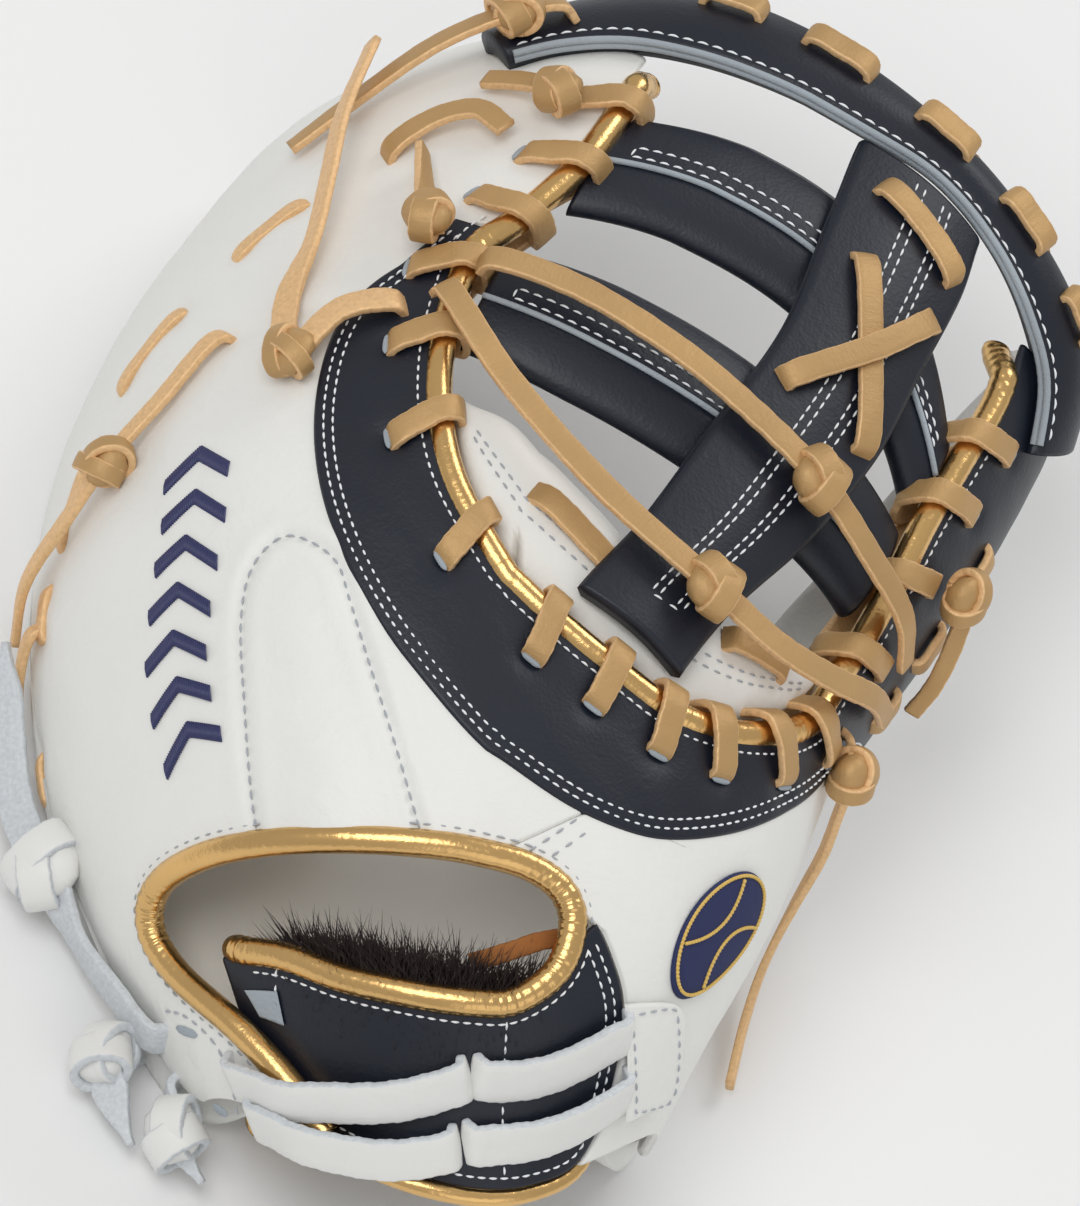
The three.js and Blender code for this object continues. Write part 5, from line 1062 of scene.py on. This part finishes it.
def make_web():
    """Web: rolled bars, each lapped over itself and stitched twice along the lap, the post with its
    two double rows, and the band with two suede edges inside."""
    runs = []
    for name, top, low in BARS:
        rails = bar_edges(top, low, 90)
        tube(name.replace("web_", "rolled_"), bar_rings(rails), mat("navy"), replaces=[name],
             slot="navy_leather")
        lap = [rails[0] + (rails[1] - rails[0]) * u for u in (0.08, 0.57)]
        panel(name + "_lap", *lap, 8, lambda s, t, u, p: bar_depth(0.08 + 0.49 * u) - 0.9, 1.5, 0.6,
              mat("navy"), low_cut=True, slot="navy_leather")
        bead(name + "_lap_edge", *bar_line(rails, 0.575, 0.55), 0.72, mat("pale_suede"), "navy_leather")
        runs += [bar_line(rails, u, 0.9, (5, -5)) for u in (0.43, 0.52)]
        place = np.linspace(0.43, 0.52, 8)[:, None]
        end = rails[0][5] + (rails[1][5] - rails[0][5]) * place
        runs.append(on_back(end[:, 0], end[:, 1], bar_depth(place[:, 0]) - 0.9))
    stitches("bar_stitches", runs, mat("thread"), "white_lace", pitch=3.3, length=2.6)
    rails = foot_edges(90)
    tube("rolled_foot_bar", bar_rings(rails), mat("white"), replaces=["web_bar_foot"], slot="white_leather")
    runs = [bar_line(rails, u, 0.0, (6, -6)) for u in (0.46, 0.57)]
    # The grey of this thread is painted shade for the stitch holes in the white bar
    stitches("foot_bar_stitches", runs, mat("shade_grey_thread"), "white_lace", pitch=3.3)

    f = np.linspace(0, 1, 160)
    left, right = (np.stack(between_rails(POST, f, u), -1) for u in (0.0, 1.0))
    panel("post_leather", left, right, 10, lambda s, t, u, p: post_top(u), POST_THICK * 0.7, 2.2, mat("navy"),
          replaces=["web_post"], slot="navy_leather")
    runs = []
    for u in (0.4, 0.46, 0.61, 0.67):
        s, t = between_rails(POST, np.linspace(0.02, 0.945, 180), u)
        runs.append(on_back(s, t, np.full(180, post_top(u))))
    u = np.linspace(0.4, 0.67, 30)
    s, t = between_rails(POST, np.full(30, 0.95), u)
    runs.append(on_back(s, t, post_top(u)))
    stitches("post_stitches", runs, mat("thread"), "white_lace", pitch=3.1, length=2.5)

    f = np.linspace(0, 1, 200)
    inner, outer = (np.stack(between_rails(BAND, f, u), -1) for u in (0.03, 1.0))
    panel("band_leather", inner, outer, 10, lambda s, t, u, p: band_top(0.03 + 0.97 * u), BAND_THICK * 0.9,
          2.0, mat("navy"), replaces=["top_band"], slot="navy_leather")
    s, t = between_rails(BAND, np.linspace(0.01, 0.985, 420), 0.035)
    for k, depth in enumerate((-4.4, -2.7)):
        line, ups = on_back(s, t, np.full(420, depth))
        bead("band_edge_%d" % k, line, ups, 0.9, mat("pale_suede"), "navy_leather", 3.0 * k)
    s, t = between_rails(BAND, np.linspace(0.02, 0.98, 300), 0.13)
    row = on_back(s, t, np.full(300, band_top(0.13)))
    stitches("band_stitches", [row], mat("thread"), "white_lace", pitch=3.7, length=3.0)


def loop_knots(station):
    """One turn of lace round the edge: sideways place, depth and the way its face looks."""
    inside = BINDING_RADIUS + LACE_OVER + 2 * GAP
    under = PALM_UNDER + CROTCH_PAD + LACE_OVER + 1.0
    rows = np.array([
        (1, LACE_SET_BACK - 1, under, 300), (1, LACE_SET_BACK, PALM_UNDER, 360),
        (0.95, LACE_SET_BACK - 1.5, -LACE_OVER - 0.2, 430), (0.6, 5.5, BINDING_DEPTH - inside + 0.9, 455),
        (0.2, 0, BINDING_DEPTH - inside, 450), (0, -0.72 * inside, BINDING_DEPTH - 0.72 * inside, 495),
        (-0.2, -inside, BINDING_DEPTH, 540), (-0.4, -inside, under - 3, 555), (-0.6, 0, under + 0.4, 620),
    ])
    along = station + rows[:, 0] * LOOP_SLANT
    place = edge_place(along, rows[:, 1])
    beyond = edge_place(along, rows[:, 1] + 1)
    point, up = on_back(place[:, 0], place[:, 1], rows[:, 2])
    away = unit(skin(beyond[:, 0], beyond[:, 1], rows[:, 2]) - point)
    angle = np.radians(rows[:, 3])[:, None]
    return point, unit(away * np.cos(angle) + up * np.sin(angle))


def lace_run(knots, steps, seed=1, taper=0.0, width=None, thick=LACE_THICK, suede=0.0):
    """A strip of lace on a spline through knots, each a set of points and the ways its face looks."""
    width = width or millimetres("lace_width")
    points = spline(np.concatenate([k[0].reshape(-1, 3) for k in knots]), steps)
    ups = unit(spline(np.concatenate([k[1].reshape(-1, 3) for k in knots]), steps))
    return ribbon_rings(points, ups, width, thick, taper, seed, suede)


def running_knots(table, over, under):
    """Running lace: up through the leather, over and down again."""
    knots = []
    for a, b in zip(table[::2], table[1::2]):
        a, b = np.array(a), np.array(b)
        for f, depth in ((-0.12, under), (0, over), (0.5, over - 0.6), (1, over), (1.12, under)):
            s, t = a + (b - a) * f
            knots.append(on_back(np.array([s]), np.array([t]), np.array([depth])))
    return knots


def make_laces():
    """Laces: strips swept through their turns at the web edge, the finger side, the thumb and the
    band, with a pale suede plug in each hole of the crotch panel."""
    inside = BACK_LEATHER + LACE_OVER + GAP
    turns = lace_run([loop_knots(k) for k in LOOPS], 8)
    finger = lace_run(running_knots(FINGER_LACE, 0.7, inside), 8, width=NARROW_LACE, suede=1)
    thumb = lace_run(running_knots(THUMB_LACE, -LACE_OVER - GAP, inside + GAP), 8)
    ribbons("web_edge_lace", [turns], mat("lace"), "gold_lace", ["crotch_lace"])
    ribbons("finger_side_lace", [finger], mat("lace"), "gold_lace", ["finger_lace"])
    ribbons("thumb_side_lace", [thumb], mat("lace"), "gold_lace", ["thumb_lace"])
    table = [np.array(between_rails(BAND, f, 0.74)) for f in BAND_STITCHES]
    knots = running_knots(table, -BAND_THICK - 2 * GAP - LACE_OVER, LACE_OVER + GAP)
    ribbons("top_band_lace", [lace_run(knots, 8)], mat("lace"), "gold_lace", ["band_lace"])
    for name, run in POST_LACES.items():
        ribbons(name + "_strip", [lace_run([dipped(spots(run), 3.4)], 10)], mat("lace"), "gold_lace", [name])
    ribbons("foot_bar_end_strip", [lace_run([on_back(*FOOT_BAR_END.T)], 10)], mat("lace"), "gold_lace")
    plugs = []
    for station in LOOPS:
        place = edge_place(np.array([station + LOOP_SLANT]), LACE_SET_BACK + 0.5)
        ahead = edge_place(np.array([station + LOOP_SLANT + 0.1]), LACE_SET_BACK + 0.5)
        middle, up = on_back(place[:, 0], place[:, 1], np.array([-0.7]))
        along = unit(back(ahead[:, 0], ahead[:, 1]) - back(place[:, 0], place[:, 1]))
        plugs.append(pebble(middle[0], along[0], up[0], (2.8, 0.8, 0.6), station))
    ribbons("lace_hole_suede", plugs, mat("pale_suede"), "navy_leather")


def pebble(centre, along, up, size, seed=0.0):
    """A closed, blunt ellipsoid along a direction: radius sqrt(1 - |a|^3), uneven by low sines."""
    side = np.cross(along, up)
    a = np.linspace(-0.985, 0.985, 9)[:, None]
    angle = 2 * np.pi * np.arange(14)[None] / 14
    r = np.sqrt(1 - np.abs(a) ** 3) * (1 + 0.06 * np.sin(3 * angle + seed) + 0.04 * np.sin(5 * angle + 7 * a))
    rings = (centre + along * (size[0] * a)[..., None] + side * (size[1] * r * np.cos(angle))[..., None]
             + up * (size[2] * r * np.sin(angle))[..., None])
    return rings, rings[..., :2], np.zeros(rings.shape[:2])


def dipped(knots, drop):
    """A run whose two ends go on for 2 mm and down by a drop, as into a hole."""
    points, ups = knots
    first, last = unit(points[0] - points[1]), unit(points[-1] - points[-2])
    enter, leave = points[0] + 2.0 * first - ups[0] * drop, points[-1] + 2.0 * last - ups[-1] * drop
    return (np.concatenate([[enter], points, [leave]]),
            np.concatenate([[unit(ups[0] + 1.2 * first)], ups, [unit(ups[-1] + 1.2 * last)]]))


def spots(run, rise=0.3):
    """Places of a lace's run as points and the way its face looks, turned by the roll. Beside the mitt
    the face looks along its angle and up by the rise."""
    points, ups, rolls = [], [], []
    for row in run:
        if row[0] == "xyz":
            face = np.radians(row[4])
            points.append(np.array([row[1], row[2] + HEEL_REST_Y, row[3]], float))
            ups.append(unit(np.array([np.cos(face), np.sin(face), rise])))
            rolls.append(0.0)
        else:
            p, n = on_back(np.array([row[0]]), np.array([row[1]]), np.array([-row[2]], float))
            points.append(p[0])
            ups.append(n[0])
            rolls.append(np.radians(row[3]))
    points, ups = np.array(points), np.array(ups)
    tangent = unit(np.gradient(points, axis=0))
    roll = np.array(rolls)[:, None]
    along = tangent * (tangent * ups).sum(-1, keepdims=True) * (1 - np.cos(roll))
    return points, unit(ups * np.cos(roll) + np.cross(tangent, ups) * np.sin(roll) + along)


def knot_parts(centre, tangent, up, size, width, thick):
    """A tight knot: a core, one turn of lace round the strand and one across it, each an ellipse
    a cos + b sin with its first point underneath, and leaning a little against each other."""
    side = unit(np.cross(tangent, up))
    up = np.cross(side, tangent)
    length, wide, high = size
    angle = np.linspace(-0.5 * np.pi, 1.5 * np.pi, 49)[:, None]
    parts = [pebble(centre, side, up, (0.46 * length, 0.5 * wide, 0.5 * high))]
    ahead, aside = 0.2 * wide * tangent, -0.08 * length * side - 0.05 * wide * tangent
    for a, lean, span, rise, offset in (
        (unit(side + 0.25 * tangent), 0.12 * tangent, 0.5 * length - thick / 2, 0.54 * high, ahead),
        (unit(tangent + 0.35 * side), 0.1 * side, 0.56 * wide - thick / 2, 0.56 * high, aside),
    ):
        b = unit(up + lean)
        points = centre + offset + a * span * np.cos(angle) + b * rise * np.sin(angle)
        ups = unit(a * np.cos(angle) / span + b * np.sin(angle) / rise)
        parts.append(ribbon_rings(points, ups, 0.92 * width, thick))
        hub = (0.49 * width, span - 0.2, rise - 0.2)
        parts.append(pebble(centre + offset, unit(np.cross(a, b)), b, hub))
    return parts


def make_ties():
    """Knotted lace ends. Those that start on the back come up out of it."""
    for table, width, thick, material, slot in (
        (TIES, millimetres("lace_width"), LACE_THICK, mat("lace"), "gold_lace"),
        (HEEL_TIES, HEEL_TIE_WIDTH, STRAP_THICK, mat("white_lace"), "white_lace"),
    ):
        for k, (name, (knot_at, size, run)) in enumerate(table.items()):
            heel = table is HEEL_TIES
            points, ups = spots(run, 1.2 if heel else 0.3)
            back_up = unit(points[0] - points[1])
            knots = (np.concatenate([[points[0] + 2.4 * back_up - 4.0 * ups[0]], points]),
                     np.concatenate([[unit(ups[0] + back_up)], ups]))
            suede = 1.0 if heel or name in SUEDE_OUT else 0.0
            parts = [lace_run([knots], 12, k, 0.8 if heel else 0.12, width, thick, suede)]
            if knot_at >= 0:
                width = FINGER_TIE_WIDTH if name == "finger_tie" else width
                ahead, behind = min(knot_at + 1, len(points) - 1), max(knot_at - 1, 0)
                tangent = unit(points[ahead] - points[behind])
                parts += knot_parts(points[knot_at], tangent, ups[knot_at], size, width, thick)
            ribbons(name + "_lace", parts, material, slot, [name])


def make_cuff():
    """Cuff: two white straps, each tucked through the wrist strap halfway, their tab, a label tab and
    the tan strip inside. The straps lean by 20 degrees, so their upper cut edge shows."""
    for k, (name, run) in enumerate(STRAPS.items()):
        run = np.array(run)
        rows = np.linspace(0, len(run) - 1, 60)
        s, t, lift = (column(run, c, rows) for c in range(3))
        for side, keep in (("a", t < TUCK_T), ("b", t > TUCK_T)):
            points, ups = on_back(s[keep], t[keep], -lift[keep] - STRAP_THICK / 2 - 0.5)
            tangent = unit(np.gradient(points, axis=0))
            lean = np.radians(20)
            ups = unit(ups * np.cos(lean) - np.cross(ups, tangent) * np.sin(lean))
            knots = dipped((points[::3], ups[::3]), 3.4)
            strip = lace_run([knots], 6, k, 0, millimetres("strap_width"), STRAP_THICK)
            ribbons("%s_%s" % (name, side), [strip], mat("white_lace"), "white_lace", [name])
    f = np.linspace(-1, 1, 40)
    left, right = path(STRAP_TAB, 0, 1, 40), path(STRAP_TAB, 0, 1, 40, 2)
    corner = 0.3 * (1 - np.sqrt(np.maximum(1 - np.clip((np.abs(f) - 0.62) / 0.39, 0, 1) ** 2, 0)))[:, None]
    panel("tab_leather", left, right - (right - left) * corner, 5, flat(-3.0), 2.4, 1.0, mat("white"),
          replaces=["strap_tab"], slot="white_leather")
    left, right = (np.linspace(*ends, 12) for ends in LABEL_TAB)
    panel("label_tab", left, right, 3, lambda s, t, u, p: strap_depth(t) - 0.9, 0.8, 0.35, mat("pale_suede"),
          slot="white_lace")
    strip = lace_run([on_back(*TAN_STRIP.T)], 10, suede=1, width=NARROW_LACE)
    ribbons("tan_strip", [strip], mat("suede"), "gold_lace")


def make_patch():
    """Oval patch: a low dome, with a gold rim and two seam arcs in satin thread."""
    s0, t0, long_, wide, turn = PATCH_PLACE
    along_s, along_t, _ = slopes(np.array([s0]), np.array([t0]))
    size_s, size_t = np.linalg.norm(along_s), np.linalg.norm(along_t)

    def place(x, y, lift):
        """Points x, y of the oval in millimetres, lifted off the leather."""
        up = x * np.sin(turn) + y * np.cos(turn)
        over = x * np.cos(turn) - y * np.sin(turn)
        return skin(s0 + up / size_s, t0 + over / size_t, -np.asarray(lift, float))

    angle = 2 * np.pi * np.arange(64) / 64
    rings = [place(long_ * r * np.cos(angle), wide * r * np.sin(angle), np.full(64, lift))
             for r, lift in PATCH_DOME]
    tube("patch_cloth", np.array(rings), mat("patch"), replaces=["oval_patch"], slot="patch_cloth")
    angle = np.linspace(0, 2 * np.pi, 160)
    ring = place(long_ * 0.93 * np.cos(angle), wide * 0.93 * np.sin(angle), np.full(160, 1.7))
    ups = np.tile(slopes(np.array([s0]), np.array([t0]))[2], (160, 1))
    runs = [(ring, ups)]
    for sign in (-1, 1):
        x = np.linspace(-0.62, 0.62, 50) * long_
        y = sign * wide * (0.2 + 0.42 * (x / long_ / 0.62) ** 2)
        runs.append((place(x, y, np.full(50, 1.95)), ups[:50]))
    stitches("patch_thread", runs, mat("gold_thread"), "patch_cloth", pitch=1.0, length=1.6, radius=0.5,
             lift=0.15)


# Chevrons: millimetres from one to the next and from thread to thread, and the threads of an arm. In s:
# how far the first thread reaches up and down, and how much lower each next one lies
CHEVRON_SPACING, THREAD_SPACING, CHEVRON_THREADS = 12.5, 0.5, 18
CHEVRON_TOP, CHEVRON_LOW, CHEVRON_DROP = 0.0062, 0.0075, 0.0011


def make_seams():
    """Stitch rows on the leather of the back, the cuff and the straps, the edges of two lace slots,
    and a row of satin-stitched chevrons down the finger back."""
    # The grey rows run on white leather; their grey thread is painted shade for the holes they sink into
    white, grey = [], []
    rows = path(CROTCH_OUTER, 0.2, 12.6, 300)
    for inset in (-2.1, -4.3):
        white.append(row_on_back(shift(rows, inset), -0.6))
    white.append(row_on_back(edge_place(np.linspace(3.4, 24.6, 300), BINDING_RADIUS + 1.4), -0.6))
    grey.append(row_on_back(whole_path(KNUCKLE_PAD, 120), 0.45))
    grey.append(row_on_back(shift(path(CUFF_EDGE, 1, 15, 240), -(CUFF_BINDING_RADIUS + 1.3)), 0.2))
    for aside in (-1.9, 1.9):
        grey.append(row_on_back(shift(whole_path(THUMB_CUFF_SEAM, 30), aside), -0.1))
    white.append(strap_row(shift(path(CUFF_EDGE, 15.4, 22, 200), -4.6)))
    white.append(strap_row(shift(path(STRAP_OUTER, 0.3, 9.6, 240), -3.0)))
    white.append(strap_row(shift(path(STRAP_OUTER, 5.2, 9.6, 120), -5.4)))
    white.append(strap_row(whole_path(STRAP_MIDDLE_SEAM, 60)))
    white.append(strap_row(whole_path(STRAP_LEFT_SEAM, 20)))
    grey.append(row_on_back(whole_path(TAB_SEAM, 120), -3.0))
    grey.append(row_on_back(whole_path(FLAP_SEAM, 80), 0.0))
    stitches("white_stitches", white, mat("thread"), "white_lace")
    stitches("stitches_in_painted_shade", grey, mat("shade_grey_thread"), "white_lace", pitch=3.4, length=2.4)
    slots = []
    for line in FLAP_SLOTS:
        (a, b), up = on_back(*np.array(line).T, np.array([-0.1, -0.1]))
        slots.append(pebble((a + b) / 2, unit(b - a), up[0], (np.linalg.norm(b - a) / 2, 1.2, 0.5)))
    ribbons("flap_slots", slots, mat("pale_suede"), "white_lace")
    satin = []
    line = resample(whole_path(CHEVRON_LINE, 60), CHEVRON_SPACING)
    for k in range(1, len(line) - 1):
        ahead = back(*(line[k + 1] - line[k - 1]) * 0.01 + line[k])
        tangent = unit(ahead - back(*line[k]))
        for arm in (-1, 1):
            for j in range(CHEVRON_THREADS):
                place = slide(line[k][None], tangent[None], np.array([arm * THREAD_SPACING * (j + 0.5)]))
                high = back(place[0, 0] + (CHEVRON_TOP - CHEVRON_DROP * j), place[0, 1])
                low = back(place[0, 0] - (CHEVRON_LOW + CHEVRON_DROP * j), place[0, 1])
                up = slopes(place[:, 0], place[:, 1])[2]
                satin.append((np.stack([high, (high + low) / 2, low]), np.repeat(up, 3, 0)))
    stitches("finger_chevrons", satin, mat("navy_thread"), "navy_leather", pitch=20.0, length=8.0,
             radius=0.36, lift=0.7)


def strap_row(line):
    """A stitch row over the wrist strap."""
    line = resample(line, 1.2)
    return on_back(line[:, 0], line[:, 1], strap_depth(line[:, 1]))


# Where the strands start: places in t and s, and millimetres under the strap's surface
FUR_T, FUR_S, FUR_DEPTH = (-0.45, 0.1), (0.05, 0.108), (5.2, 9.5)


def make_fur():
    """Pile under the wrist strap: a thin backing, and strands that are three-sided spikes bent twice."""
    count = FUR_STRANDS
    t = rng.uniform(*FUR_T, count)
    s = rng.uniform(*FUR_S, count)
    depth = strap_depth(t) + rng.uniform(*FUR_DEPTH, count)
    root = skin(s, t, depth)
    along_s, along_t, normal = slopes(s, t)
    lean = unit(along_s) * rng.uniform(0.7, 1.1, count)[:, None]
    lean = lean + unit(along_t) * rng.normal(0, 0.35, count)[:, None]
    lean = unit(lean + normal * rng.uniform(-0.2, 0.5, count)[:, None])
    length = rng.uniform(0.45, 1, count)[:, None] * millimetres("fur_length")
    bend = unit(normal + rng.normal(0, 0.5, (count, 3)))
    mid = root + lean * length * 0.55 + bend * length * 0.08
    tip = root + lean * length + bend * length * 0.3
    side = unit(np.cross(lean, bend))
    corners = np.stack([side, -0.5 * side + 0.8 * bend, -0.5 * side - 0.8 * bend], 1)[:, None]
    radius = STRAND_RADIUS * np.array([1.0, 0.7, 0.05])[:, None, None]
    rings = np.stack([root, mid, tip], 1)[:, :, None] + radius * corners
    faces = by_size(repeated(tube_faces(3, 3), count, 9))
    build("fur_pile", rings.reshape(-1, 3), faces, mat("pile"), ["fur_lining"], "fur")
    f = np.linspace(-0.45, 0.12, 60)
    low, high = (np.stack([np.full(60, s), f], -1) for s in (0.035, 0.106))
    panel("fur_backing", low, high, 3, lambda s, t, u, p: strap_depth(t) + 4.4, 3.0, 1.2, mat("pile"),
          slot="fur")


# The floor's half width and the camera's distance in metres, and its lens in millimetres
FLOOR_HALF, CAMERA_DISTANCE, CAMERA_LENS = 6.0, 2.82, 358.2
# The camera's turn about the mitt's length and its rise over the heel, and the middle of its view in
# millimetres to the right of the heel and above it
CAMERA_TURN, CAMERA_RISE = np.radians(15), np.radians(60)
VIEW_RIGHT, VIEW_UP = 28.2, 138.368
# Lamps: name, place in metres, share of the key light's power, width; all shine on one spot
LAMPS = (
    ("key_light", (-0.7, -0.1, 1.7), 1.0, 1.1),
    ("rim_light", (1.1, 1.2, 1.3), 0.7, 0.9),
    ("low_light", (0.5, -1.6, 0.9), 0.3, 1.4),
)
LIT_SPOT = Vector((0, 0.1, 0.05))


def make_stage():
    """Floor, soft lights and the camera at the photograph's angle."""
    look = bpy.context.scene.mitt_looks
    corners = np.array([(-1, -1), (1, -1), (1, 1), (-1, 1)]) * FLOOR_HALF
    corners = np.concatenate([corners, np.full((4, 1), -0.0004)], 1)
    floor = build("studio_floor", corners, [np.array([[0, 1, 2, 3]])], mat("floor"), cad=False)
    target, back_to_camera, up = camera_axes()
    for name, place, share, width in LAMPS:
        data = bpy.data.lights.new(name, "AREA")
        data.energy, data.size = look.key_power * share, width
        lamp = bpy.data.objects.new(name, data)
        lamp.location = place
        lamp.rotation_mode = "QUATERNION"
        lamp.rotation_quaternion = (LIT_SPOT - Vector(place)).to_track_quat("-Z", "Y")
        bpy.context.scene.collection.objects.link(lamp)
    world = bpy.data.worlds.new("studio")
    world.use_nodes = True
    world.node_tree.nodes["Background"].inputs[0].default_value = (1, 1, 1, 1)
    world.node_tree.nodes["Background"].inputs[1].default_value = look.sky_strength
    bpy.context.scene.world = world
    bpy.context.scene.view_settings.view_transform = "Standard"
    data = bpy.data.cameras.new("camera")
    data.sensor_width, data.lens = 36.0, CAMERA_LENS
    camera = bpy.data.objects.new("camera", data)
    side = Vector(np.cross(up, back_to_camera))
    matrix = Matrix((side, Vector(up), Vector(back_to_camera))).transposed().to_4x4()
    matrix.translation = Vector(target) + Vector(back_to_camera) * CAMERA_DISTANCE
    camera.matrix_world = matrix
    data.clip_end = 50
    bpy.context.scene.collection.objects.link(camera)
    bpy.context.scene.camera = camera


def camera_axes():
    """The spot that the camera looks at, the way back to the camera, and the way up in its view."""
    turn, rise = CAMERA_TURN, CAMERA_RISE
    right = np.array([np.cos(turn), 0, np.sin(turn)])
    up = np.array([-np.cos(rise) * np.sin(turn), np.sin(rise), np.cos(rise) * np.cos(turn)])
    out = np.array([-np.sin(rise) * np.sin(turn), -np.cos(rise), np.sin(rise) * np.cos(turn)])
    target = (VIEW_RIGHT * right + VIEW_UP * up - np.array([0, HEEL_REST_Y, 0])) * 0.001
    return target, out, up


def colour_property(name, text, code):
    """A colour that a user can change, with an sRGB hex default."""
    return bpy.props.FloatVectorProperty(
        name=name, description=text, subtype="COLOR", size=4, min=0, max=1, default=hex_colour(code))


def length_property(name, text, metres, low, high):
    """A length in metres that a user can change."""
    return bpy.props.FloatProperty(
        name=name, description=text, default=metres, min=low, max=high, unit="LENGTH", subtype="DISTANCE",
        precision=4)


class MittLooks(bpy.types.PropertyGroup):
    """Colours, sizes and light of the mitt."""

    white: colour_property("White Leather", "Colour of the back and the palm", "#e9e9e5")
    navy: colour_property("Navy Leather", "Colour of the web, crotch panel and wrist strap", "#131a28")
    gold: colour_property("Gold Foil", "Colour of the bindings", "#edc280")
    lace: colour_property("Lace", "Colour of the laces' grain side", "#cda56e")
    lace_width: length_property("Lace Width", "Width of the gold laces", 0.0064, 0.004, 0.008)
    strap_width: length_property("Strap Width", "Width of the white straps", 0.0106, 0.007, 0.012)
    binding_radius: length_property("Binding Radius", "Radius of the web's binding", 0.0034, 0.0025, 0.004)
    thread_radius: length_property("Thread Radius", "Radius of the stitching thread", 0.0003, 0.0002, 0.0005)
    fur_length: length_property("Fur Length", "Longest strand of the fur", 0.013, 0.004, 0.016)
    key_power: bpy.props.FloatProperty(
        name="Key Light", description="Power of the key light", default=12.0, min=0, unit="POWER")
    sky_strength: bpy.props.FloatProperty(
        name="Sky", description="Strength of the white surroundings", default=0.54, min=0)


def millimetres(name):
    """One of the lengths a user can change, in millimetres."""
    return getattr(bpy.context.scene.mitt_looks, name) * 1000


class MITT_OT_palm(bpy.types.Operator):
    """Builds the padded palm with its lining"""

    bl_idname = "mitt.palm"
    bl_label = "Palm"

    def execute(self, context):
        make_palm()
        return {"FINISHED"}


class MITT_OT_backs(bpy.types.Operator):
    """Builds the leather of the fingers, crotch and thumb"""

    bl_idname = "mitt.backs"
    bl_label = "Back Panels"

    def execute(self, context):
        make_backs()
        return {"FINISHED"}


class MITT_OT_strap(bpy.types.Operator):
    """Builds the navy wrist strap"""

    bl_idname = "mitt.strap"
    bl_label = "Wrist Strap"

    def execute(self, context):
        make_strap()
        return {"FINISHED"}


class MITT_OT_bindings(bpy.types.Operator):
    """Builds the gold foil bindings"""

    bl_idname = "mitt.bindings"
    bl_label = "Bindings"

    def execute(self, context):
        make_bindings()
        return {"FINISHED"}


class MITT_OT_web(bpy.types.Operator):
    """Builds the bars, the post and the top band"""

    bl_idname = "mitt.web"
    bl_label = "Web"

    def execute(self, context):
        make_web()
        return {"FINISHED"}


class MITT_OT_laces(bpy.types.Operator):
    """Builds the laces through the leather"""

    bl_idname = "mitt.laces"
    bl_label = "Laces"

    def execute(self, context):
        make_laces()
        return {"FINISHED"}


class MITT_OT_ties(bpy.types.Operator):
    """Builds the knotted lace ends"""

    bl_idname = "mitt.ties"
    bl_label = "Ties"

    def execute(self, context):
        make_ties()
        return {"FINISHED"}


class MITT_OT_cuff(bpy.types.Operator):
    """Builds the white straps, their tab and the strip inside"""

    bl_idname = "mitt.cuff"
    bl_label = "Cuff Straps"

    def execute(self, context):
        make_cuff()
        return {"FINISHED"}


class MITT_OT_patch(bpy.types.Operator):
    """Builds the oval patch"""

    bl_idname = "mitt.patch"
    bl_label = "Patch"

    def execute(self, context):
        make_patch()
        return {"FINISHED"}


class MITT_OT_seams(bpy.types.Operator):
    """Builds the stitch rows and the satin chevrons"""

    bl_idname = "mitt.seams"
    bl_label = "Stitching"

    def execute(self, context):
        make_seams()
        return {"FINISHED"}


class MITT_OT_fur(bpy.types.Operator):
    """Builds the fur under the wrist strap"""

    bl_idname = "mitt.fur"
    bl_label = "Fur"

    def execute(self, context):
        make_fur()
        return {"FINISHED"}


class MITT_OT_stage(bpy.types.Operator):
    """Builds the floor, the lights and the camera"""

    bl_idname = "mitt.stage"
    bl_label = "Stage"

    def execute(self, context):
        make_stage()
        return {"FINISHED"}


OPERATORS = [
    MITT_OT_palm, MITT_OT_backs, MITT_OT_strap, MITT_OT_bindings, MITT_OT_web, MITT_OT_laces,
    MITT_OT_ties, MITT_OT_cuff, MITT_OT_patch, MITT_OT_seams, MITT_OT_fur, MITT_OT_stage,
]


class MITT_PT_panel(bpy.types.Panel):
    """Lists the mitt's colours, sizes and light, and the steps that build it."""

    bl_label = "Mitt"
    bl_idname = "MITT_PT_panel"
    bl_space_type = "VIEW_3D"
    bl_region_type = "UI"
    bl_category = "Mitt"

    def draw(self, context):
        looks = context.scene.mitt_looks
        for name in MittLooks.__annotations__:
            self.layout.prop(looks, name)
        for each in OPERATORS:
            self.layout.operator(each.bl_idname)


CLASSES = [MittLooks, *OPERATORS, MITT_PT_panel]


def register():
    """Registers the classes and hangs the mitt's looks on the scene."""
    for each in CLASSES:
        bpy.utils.register_class(each)
    bpy.types.Scene.mitt_looks = bpy.props.PointerProperty(type=MittLooks)


def unregister():
    """Takes away what register added."""
    del bpy.types.Scene.mitt_looks
    for each in reversed(CLASSES):
        bpy.utils.unregister_class(each)


def main():
    """Builds the mitt and its stage."""
    register()
    for each in OPERATORS:
        getattr(bpy.ops.mitt, each.bl_idname.split(".")[1])()


if __name__ == "__main__":
    main()
